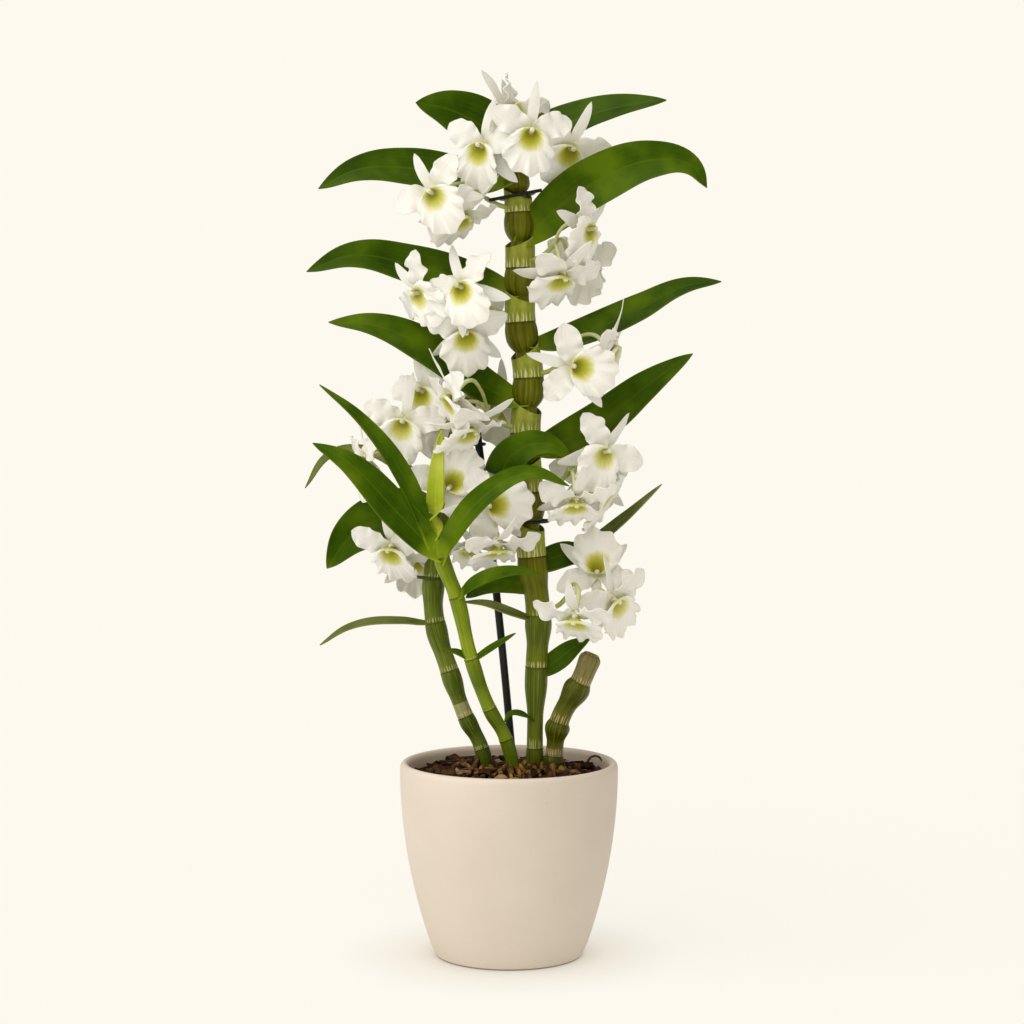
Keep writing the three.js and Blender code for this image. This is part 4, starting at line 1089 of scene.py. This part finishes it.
# ==== The flowers ====
# Sprays of white flowers on short stalks at the canes' joints. A flower has three narrow sepals, two broad
# wavy petals and a round ruffled lip round a small column. All are soft, slightly see-through white tissue.
SPRAYS = {
    "spray_top": ([(2, -2, 486), (3, -6, 494), (6, -7, 500)], [
        ((13, -31, 504), 6, -5, 8), ((-1, -10, 518), 55, 10, -43), ((-15, -24, 496), -32, -4, 5),
        ((37, 0, 498), 15, -25, 25), ((4, 32, 514), 178, 5, 10)]),
    "spray_left_1": ([(6, 0, 460), (-6, -6, 462), (-14, -8, 466)], [
        ((-45, -36, 467), -15, 0, -35), ((-27, -24, 457), 50, -55, 20)]),
    "spray_right_1": ([(8, 0, 427), (20, -9, 431), (27, -13, 437)], [
        ((46, -20, 447), 55, -8, 55), ((32, -28, 421), 20, -55, 20), ((44, 24, 430), 145, -8, 0)]),
    "spray_left_2": ([(6, 0, 394), (-8, -6, 398), (-16, -8, 402)], [
        ((-27, -41, 411), -30, 2, -32), ((-26, -26, 386), 5, -25, 0), ((-53, -20, 409), -45, -15, -60),
        ((-28, 28, 396), 188, -6, 0)]),
    "spray_right_2": ([(12, 0, 359), (24, -6, 361), (31, -8, 365)], [
        ((39, -29, 364), 5, 0, -75), ((61, -7, 377), 75, -25, 0)]),
    "spray_left_3": ([(10, 0, 325), (-4, -6, 329), (-12, -8, 334)], [
        ((-34, -30, 348), -70, -30, 0), ((-23, -30, 329), 40, -55, 30), ((-36, -17, 291), 0, 0, -140),
        ((-4, 28, 340), 175, 0, 0)]),
    "spray_right_3": ([(12, 0, 289), (26, -6, 291), (34, -8, 296)], [
        ((57, -24, 313), 25, -5, 35), ((58, -4, 289), 75, -35, 10), ((40, -36, 286), 10, -62, 0),
        ((50, 27, 296), 160, 0, 0)]),
    "spray_left_4": ([(13, 0, 250), (-1, -8, 254), (-8, -12, 260)], [
        ((-12, -26, 280), 10, 0, -95), ((-24, -6, 256), -25, -60, 0), ((-7, -30, 258), 20, -70, 0)]),
    "spray_right_4": ([(18, 0, 213), (30, -4, 217), (36, -6, 223)], [
        ((54, -4, 237), 0, 20, 180), ((63, -12, 222), 45, -20, -30), ((40, -40, 216), -20, -60, 0)]),
    "spray_old_top": ([(-30, 20, 326), (-42, 16, 330), (-48, 12, 332)], [
        ((-52, 6, 349), -30, 0, -20), ((-64, -5, 331), -10, -10, 10), ((-88, 14, 308), -72, -14, 0),
        ((-44, 42, 334), -165, 0, 0)]),
    "spray_old_low": ([(-44, 16, 264), (-54, 17, 258), (-58, 18, 254)], [
        ((-72, 6, 254), -28, -40, 0), ((-58, 38, 246), -170, -20, 0)]),
}
petal_length, petal_half_width = 26.5, 8.4
sepal_length, sepal_half_width = 29.5, 3.9

petal_white = (0.885, 0.865, 0.80)


def tissue(name):
    """Soft white flower tissue that lets some light through."""
    finish = new_finish(name, roughness=0.55)
    shader = finish.node_tree.nodes["Principled BSDF"]
    shader.inputs["Subsurface Weight"].default_value = 0.3
    shader.inputs["Subsurface Radius"].default_value = (1.0, 1.0, 0.75)
    shader.inputs["Subsurface Scale"].default_value = 1.6 * mm
    shader.inputs["Specular IOR Level"].default_value = 0.3
    shader.inputs["Sheen Weight"].default_value = 0.12
    return finish


petal_tissue = tissue("petal_tissue")
place = put(petal_tissue, "Attribute", {}, attribute_name="blade").outputs["Vector"]
along = put(petal_tissue, "SeparateXYZ", {"Vector": place}).outputs["X"]
veins = grain(petal_tissue, stretched(petal_tissue, place, 0.8, 7, 1), 2.2, detail=4)
colour = ramp(petal_tissue, veins, [(0.35, (0.80, 0.79, 0.73)), (0.6, petal_white)])
base_tint = ramp(petal_tissue, along, [(0.0, 0.75), (0.22, 0.12), (0.4, 0.0)])
surface(
    petal_tissue,
    colour=blend(petal_tissue, base_tint, colour, (0.74, 0.76, 0.50)),
    relief=veins,
    depth=0.25 * mm,
)

lip_tissue = tissue("lip_tissue")
place = put(lip_tissue, "Attribute", {}, attribute_name="lip").outputs["Vector"]
out = put(lip_tissue, "SeparateXYZ", {"Vector": place}).outputs["Z"]
rays = grain(lip_tissue, stretched(lip_tissue, put(
    lip_tissue, "VectorMath", {0: place}, operation="NORMALIZE").outputs[0], 4, 4, 0.6), 2.0, detail=3)
soft_edge = sums(lip_tissue, "ADD", out, sums(lip_tissue, "MULTIPLY", rays, 0.16))
strong_blotch = ramp(lip_tissue, soft_edge, [
    (0.28, (0.31, 0.295, 0.003)), (0.42, (0.45, 0.44, 0.025)), (0.54, (0.68, 0.67, 0.3)), (0.68, petal_white)])
pale_blotch = ramp(lip_tissue, soft_edge, [
    (0.25, (0.45, 0.44, 0.05)), (0.42, (0.62, 0.61, 0.18)), (0.52, (0.75, 0.74, 0.45)), (0.64, petal_white)])
age = put(lip_tissue, "Attribute", {}, attribute_name="age").outputs["Fac"]
surface(lip_tissue, colour=blend(lip_tissue, age, strong_blotch, pale_blotch), relief=rays, depth=0.1 * mm)
lip_tissue.node_tree.nodes["Principled BSDF"].inputs["Subsurface Weight"].default_value = 0.16

column_tissue = tissue("column_tissue")
colour = ramp(column_tissue, grain(column_tissue, own_place(column_tissue), 300), [
    (0.35, (0.55, 0.56, 0.3)), (0.62, (0.8, 0.79, 0.66))])
surface(column_tissue, colour=colour)

stalk_skin = new_finish("flower_stalk_skin", roughness=0.45)
stalk_skin.node_tree.nodes["Principled BSDF"].inputs["Subsurface Weight"].default_value = 0.15
stalk_skin.node_tree.nodes["Principled BSDF"].inputs["Subsurface Scale"].default_value = 1.5 * mm
near_bloom = put(stalk_skin, "Attribute", {}, attribute_name="near_bloom").outputs["Fac"]
mottle = ramp(stalk_skin, grain(stalk_skin, own_place(stalk_skin), 200), [
    (0.35, (0.34, 0.38, 0.08)), (0.65, (0.50, 0.54, 0.18))])
surface(stalk_skin, colour=blend(stalk_skin, near_bloom, mottle, (0.74, 0.77, 0.45)))


def petal_outline(phase):
    """A broad petal's outline with a slightly uneven margin."""
    def half_width(along):
        if along >= 1:
            return 0.0
        uneven = 1 + 0.06 * math.sin(2 * math.pi * 2.7 * along + phase)
        return uneven * math.sin(math.pi * min(1.0, 0.07 + 0.93 * along) ** 1.15) ** 0.6
    return half_width


def sepal_outline(along):
    return math.sin(math.pi * min(1.0, 0.1 + 0.9 * along) ** 0.95) ** 0.62 if along < 1 else 0.0


def wavy_margin(start, waves, height):
    """Waves and smaller crinkles along a petal's two margins, which run out towards its middle."""
    def wave(along, side):
        shift = start + (1.7 if side > 0 else 0.0)
        swing = math.sin(2 * math.pi * waves * along + shift)
        crinkle = 0.3 * math.sin(2 * math.pi * 2.1 * waves * along + 2.3 * shift)
        fade = math.sin(math.pi * min(1.0, along + 0.12)) ** 0.5
        return height * (swing + crinkle) * abs(side) ** 1.8 * fade
    return wave


def set_tepal(form, name, angle, length, half_width, height, cup, curl, twist):
    """One petal or sepal: a copy of its form, laid out from the middle of the flower and curled back."""
    heading = Vector((math.cos(angle), math.sin(angle), 0))
    line = []
    for share in (0.0, 0.33, 0.66, 1.0):
        lift = height + cup * math.sin(math.pi * share) - curl * share * share
        line.append(heading * (1.0 + (length - 1.0) * share) + Vector((0, 0, lift)))
    rib = draw_rib(line)
    for knot, share in zip(rib.data.splines[0].bezier_points, (0.0, 0.33, 0.66, 1.0)):
        knot.tilt = twist * share
    bpy.context.view_layer.update()
    tepal = own_copy(form, name)
    tepal.data.transform(Matrix.Diagonal((length * mm, half_width * mm, half_width * mm, 1)))
    bend(tepal, rib, "POS_X")
    bpy.data.objects.remove(rib)
    tepal.data.materials.append(petal_tissue)
    thicken(tepal, 0.5 * mm)
    return tepal


def model_lip(name, draw):
    """The lip: a funnel drawn ring by ring out of the flower's middle into a round brim, then ruffled."""
    rings = [(1.8, -0.6, 2.0), (2.8, -1.0, 3.4), (4.4, -1.9, 4.9), (6.3, -3.0, 6.0), (8.3, -4.2, 6.8),
             (10.2, -5.4, 7.1), (11.9, -6.5, 7.0), (13.4, -7.4, 6.5), (14.5, -8.0, 5.6)]
    bpy.ops.object.select_all(action="DESELECT")
    bpy.ops.mesh.primitive_circle_add(
        vertices=72, radius=rings[0][0] * mm, fill_type="NGON", location=(0, rings[0][1] * mm, rings[0][2] * mm))
    lip = open_piece(name)
    bpy.ops.mesh.region_to_loop()
    for (radius, y, z), (next_radius, next_y, next_z) in zip(rings, rings[1:]):
        bpy.ops.mesh.extrude_region_move(
            TRANSFORM_OT_translate={"value": (0, (next_y - y) * mm, (next_z - z) * mm)})
        spread = next_radius / radius
        bpy.ops.transform.resize(value=(spread, spread, 1), center_override=(0, (next_y - rings[0][1]) * mm, 0))
    close_piece(lip, crease=80)
    bpy.ops.object.transform_apply(location=True, rotation=True, scale=True)

    brim, depth = rings[-1][0] * mm, rings[-1][1] * mm

    def polar(p):
        ring = min(rings, key=lambda r: abs((p.xy - Vector((0, r[1] * mm))).length - r[0] * mm) + abs(p.z - r[2] * mm))
        flat = (p.xy - Vector((0, ring[1] * mm))) / (ring[0] * mm)
        share = ring[0] * mm / brim
        return (flat.x * share, flat.y * share, share)

    remember(lip, "lip", polar)
    start = draw.uniform(0, 6.28)
    folds = draw.choice([9, 10, 11, 12])
    bow = draw.uniform(-1.3, 1.3)

    def ruffle(x, y, share):
        angle = math.atan2(y, x)
        top = math.exp(-((math.atan2(x, y) / 0.55) ** 2))
        edge = max(0.0, (share - 0.45) / 0.55) ** 1.5
        frill = max(0.0, (share - 0.68) / 0.32) ** 1.5
        swing = math.sin(folds * angle + start) + 0.55 * math.sin((2 * folds + 1) * angle + 2.1 * start)
        slow = math.sin(3 * angle + 1.7 * start)
        z = frill * 1.35 * swing * (1 - 0.5 * top) + edge * (1.6 * top + bow * 1.6 * math.cos(2 * angle) + slow)
        inward = -frill * 0.9 * math.cos(folds * angle + start + 0.8) - edge * (2.4 * top + 0.8 * slow)
        return (inward * math.cos(angle) * mm, inward * math.sin(angle) * mm, z * mm)

    press(lip, "lip", ruffle)
    lip.data.materials.append(lip_tissue)
    thicken(lip, 0.55 * mm, smooth_levels=0)
    return lip


def model_column(name):
    """The column over the throat with its rounded cap, and behind it the neck that carries the flower."""
    rings = [(1.5, -3.5), (2.6, -1.6), (3.0, 0.2), (2.2, 1.4), (1.5, 3.5), (1.3, 5.6), (1.5, 6.8), (1.4, 7.8), (0.9, 8.4)]
    bpy.ops.object.select_all(action="DESELECT")
    bpy.ops.mesh.primitive_circle_add(
        vertices=14, radius=rings[0][0] * mm, fill_type="NGON", location=(0, 0, rings[0][1] * mm))
    column = open_piece(name)
    bpy.ops.mesh.region_to_loop()
    draw_rings([(radius * mm, height * mm) for radius, height in rings])
    bpy.ops.mesh.merge(type="CENTER")
    close_piece(column, crease=70)
    bpy.ops.object.transform_apply(location=True, rotation=True, scale=True)
    remember(column, "stand", lambda p: (p.x, p.y, p.z))
    press(column, "stand", lambda x, y, z: (0, 0.0011 * max(0.0, z / (9 * mm)), 0))
    press(column, "stand", lambda x, y, z: (0, -0.0012 * max(0.0, -z / (3 * mm)) if y < 0 else 0, 0))
    column.data.materials.append(column_tissue)
    bpy.ops.object.shade_smooth_by_angle(angle=math.radians(70))
    return column


def model_bloom(number, draw):
    """One whole flower that looks along +Z with its top sepal towards +Y."""
    petals = [
        model_blade(f"petal_form_{side}", 20, 8, petal_outline(draw.uniform(0, 6.28)), hollow=0.08,
                    wave=wavy_margin(draw.uniform(0, 6.28), draw.uniform(2.2, 3.4), draw.uniform(0.17, 0.3)))
        for side in range(2)
    ]
    sepal = model_blade("sepal_form", 14, 4, sepal_outline, hollow=-0.12,
                        wave=wavy_margin(draw.uniform(0, 6.28), 1.3, 0.16))
    swing = math.radians(9)
    parts = []
    for i, (angle, form) in enumerate([(20, petals[0]), (160, petals[1]), (90, sepal), (226, sepal), (314, sepal)]):
        is_petal = i < 2
        parts.append(set_tepal(
            form, f"tepal_{i}",
            math.radians(angle) + draw.uniform(-swing, swing),
            petal_length if is_petal else sepal_length,
            petal_half_width if is_petal else sepal_half_width * (0.85 if i == 2 else 1.15),
            height=0.8 if is_petal else -0.6,
            cup=2 if is_petal else 1,
            curl=2 + draw.uniform(-5, 5) if is_petal else 5 + draw.uniform(-5, 4),
            twist=draw.uniform(-0.55, 0.55),
        ))
    parts.append(model_lip("lip_part", draw))
    parts.append(model_column("column_part"))
    for form in [*petals, sepal]:
        bpy.data.objects.remove(form)
    bloom = join(parts, f"bloom_form_{number}")
    store_number(bloom, "age", draw.choice([0.0, 0.15, 0.5, 0.9]))
    return bloom


def stance(spot, turn, tilt, roll):
    """Where a flower stands: turned from the front about the upright, tilted up and rolled, in degrees."""
    turn, tilt, roll = math.radians(turn), math.radians(tilt), math.radians(roll)
    facing = Vector((math.sin(turn) * math.cos(tilt), -math.cos(turn) * math.cos(tilt), math.sin(tilt)))
    right = Vector((0, 0, 1)).cross(facing).normalized()
    up = facing.cross(right)
    top = up * math.cos(roll) + right * math.sin(roll)
    side = top.cross(facing)
    place = Matrix((side, top, facing)).transposed().to_4x4()
    place.translation = Vector(spot) * mm
    return place, facing


bloom_draw = random.Random(5)
bloom_forms = [model_bloom(number, bloom_draw) for number in range(8)]
bloom_count = 0
for name, (stub, flowers) in SPRAYS.items():
    blooms = []
    stalks = [[(*spot, radius) for spot, radius in zip(stub, (1.7, 1.5, 1.5))]]
    for spot, turn, tilt, roll in flowers:
        place, facing = stance(spot, turn, tilt, roll)
        bloom = own_copy(bloom_forms[bloom_count % len(bloom_forms)], f"bloom_{bloom_count}")
        bloom.data.transform(place)
        blooms.append(bloom)
        bloom_count += 1
        start, middle = Vector(stub[-1]), Vector(spot)
        back = middle - 12 * facing + Vector((0, 0, 1.5))
        crest = (start + back) / 2 + Vector((0, 0, 0.22 * (back - start).length))
        stalks.append([(*start, 1.1), (*crest, 1.1), (*back, 1.35), (*(middle - 3 * facing), 1.6)])
    blooms = join(blooms, name + "_blooms")
    stands_for(blooms, "petal", name)
    stalks = draw_tubes(name + "_stalks", stalks, sides=3)
    store = stalks.data.attributes.new("near_bloom", "FLOAT", "POINT")
    middles = [Vector(spot) * mm for spot, *_ in flowers]
    for stored, vertex in zip(store.data, stalks.data.vertices):
        stored.value = max(0.0, 1 - min((vertex.co - middle).length for middle in middles) / (24 * mm))
    stalks.data.materials.append(stalk_skin)
    stands_for(stalks, "petal", name)
for form in bloom_forms:
    bpy.data.objects.remove(form)

# ==== Studio ====
# A pale floor that runs out of sight and glows evenly, with a painted contact shadow round the pot's foot; an even pale
# surround and one large soft lamp from the left.
bpy.ops.object.select_all(action="DESELECT")
bpy.ops.mesh.primitive_plane_add(size=60, location=(0, 0, -0.1 * mm))
floor = bpy.context.object
floor.name = "studio_floor"
paper = new_finish("floor_paper", roughness=0.9)
paper_shader = paper.node_tree.nodes["Principled BSDF"]
paper_shader.inputs["Specular IOR Level"].default_value = 0.0
paper_shader.inputs["Base Color"].default_value = (0.15, 0.145, 0.135, 1)
# Painted shadow: an ambient-occlusion ramp darkens the floor's glow where the pot and plant close it in, so a contact
# shadow is painted round the foot.
openness = put(paper, "AmbientOcclusion", {"Distance": 70 * mm}).outputs["AO"]
painted_contact_shadow = ramp(paper, openness, [
    (0.12, (0.16, 0.13, 0.1)), (0.4, (0.6, 0.55, 0.46)), (0.62, (0.74, 0.70, 0.62)), (0.93, (0.823, 0.801, 0.734))])
paper.node_tree.links.new(painted_contact_shadow, paper_shader.inputs["Emission Color"])
paper_shader.inputs["Emission Strength"].default_value = 1.0
floor.data.materials.append(paper)

surround = bpy.data.worlds.new("surround")
bpy.context.scene.world = surround
surround.use_nodes = True
studio = surround.node_tree
backdrop = studio.nodes["Background"]
backdrop.inputs["Color"].default_value = (0.982, 0.947, 0.86, 1)
fill_light = studio.nodes.new("ShaderNodeBackground")
fill_light.inputs["Color"].default_value = (1.0, 0.92, 0.82, 1)
fill_light.inputs["Strength"].default_value = 0.58
mirrored = studio.nodes.new("ShaderNodeBackground")
mirrored.inputs["Color"].default_value = (1.0, 0.98, 0.94, 1)
mirrored.inputs["Strength"].default_value = 0.3
light_path = studio.nodes.new("ShaderNodeLightPath")
gloss_or_fill = studio.nodes.new("ShaderNodeMixShader")
studio.links.new(light_path.outputs["Is Glossy Ray"], gloss_or_fill.inputs[0])
studio.links.new(fill_light.outputs[0], gloss_or_fill.inputs[1])
studio.links.new(mirrored.outputs[0], gloss_or_fill.inputs[2])
seen_or_light = studio.nodes.new("ShaderNodeMixShader")
studio.links.new(light_path.outputs["Is Camera Ray"], seen_or_light.inputs[0])
studio.links.new(gloss_or_fill.outputs[0], seen_or_light.inputs[1])
studio.links.new(backdrop.outputs[0], seen_or_light.inputs[2])
studio.links.new(seen_or_light.outputs[0], studio.nodes["World Output"].inputs["Surface"])

bpy.ops.object.light_add(type="SUN", rotation=(math.radians(44), 0, math.radians(-48)))
key_lamp = bpy.context.object
key_lamp.data.energy = 2.1
key_lamp.data.angle = math.radians(75)
key_lamp.data.color = (1.0, 0.985, 0.95)

bpy.ops.object.camera_add(location=(1.85 * mm, -1.45, 0.35925), rotation=(math.radians(90 - 3.3418), 0, 0))
camera = bpy.context.object
camera.data.lens = 82.92
camera.data.sensor_width = 36
camera.data.clip_start = 0.05
camera.data.clip_end = 100
bpy.context.scene.camera = camera
bpy.context.scene.view_settings.view_transform = "Standard"
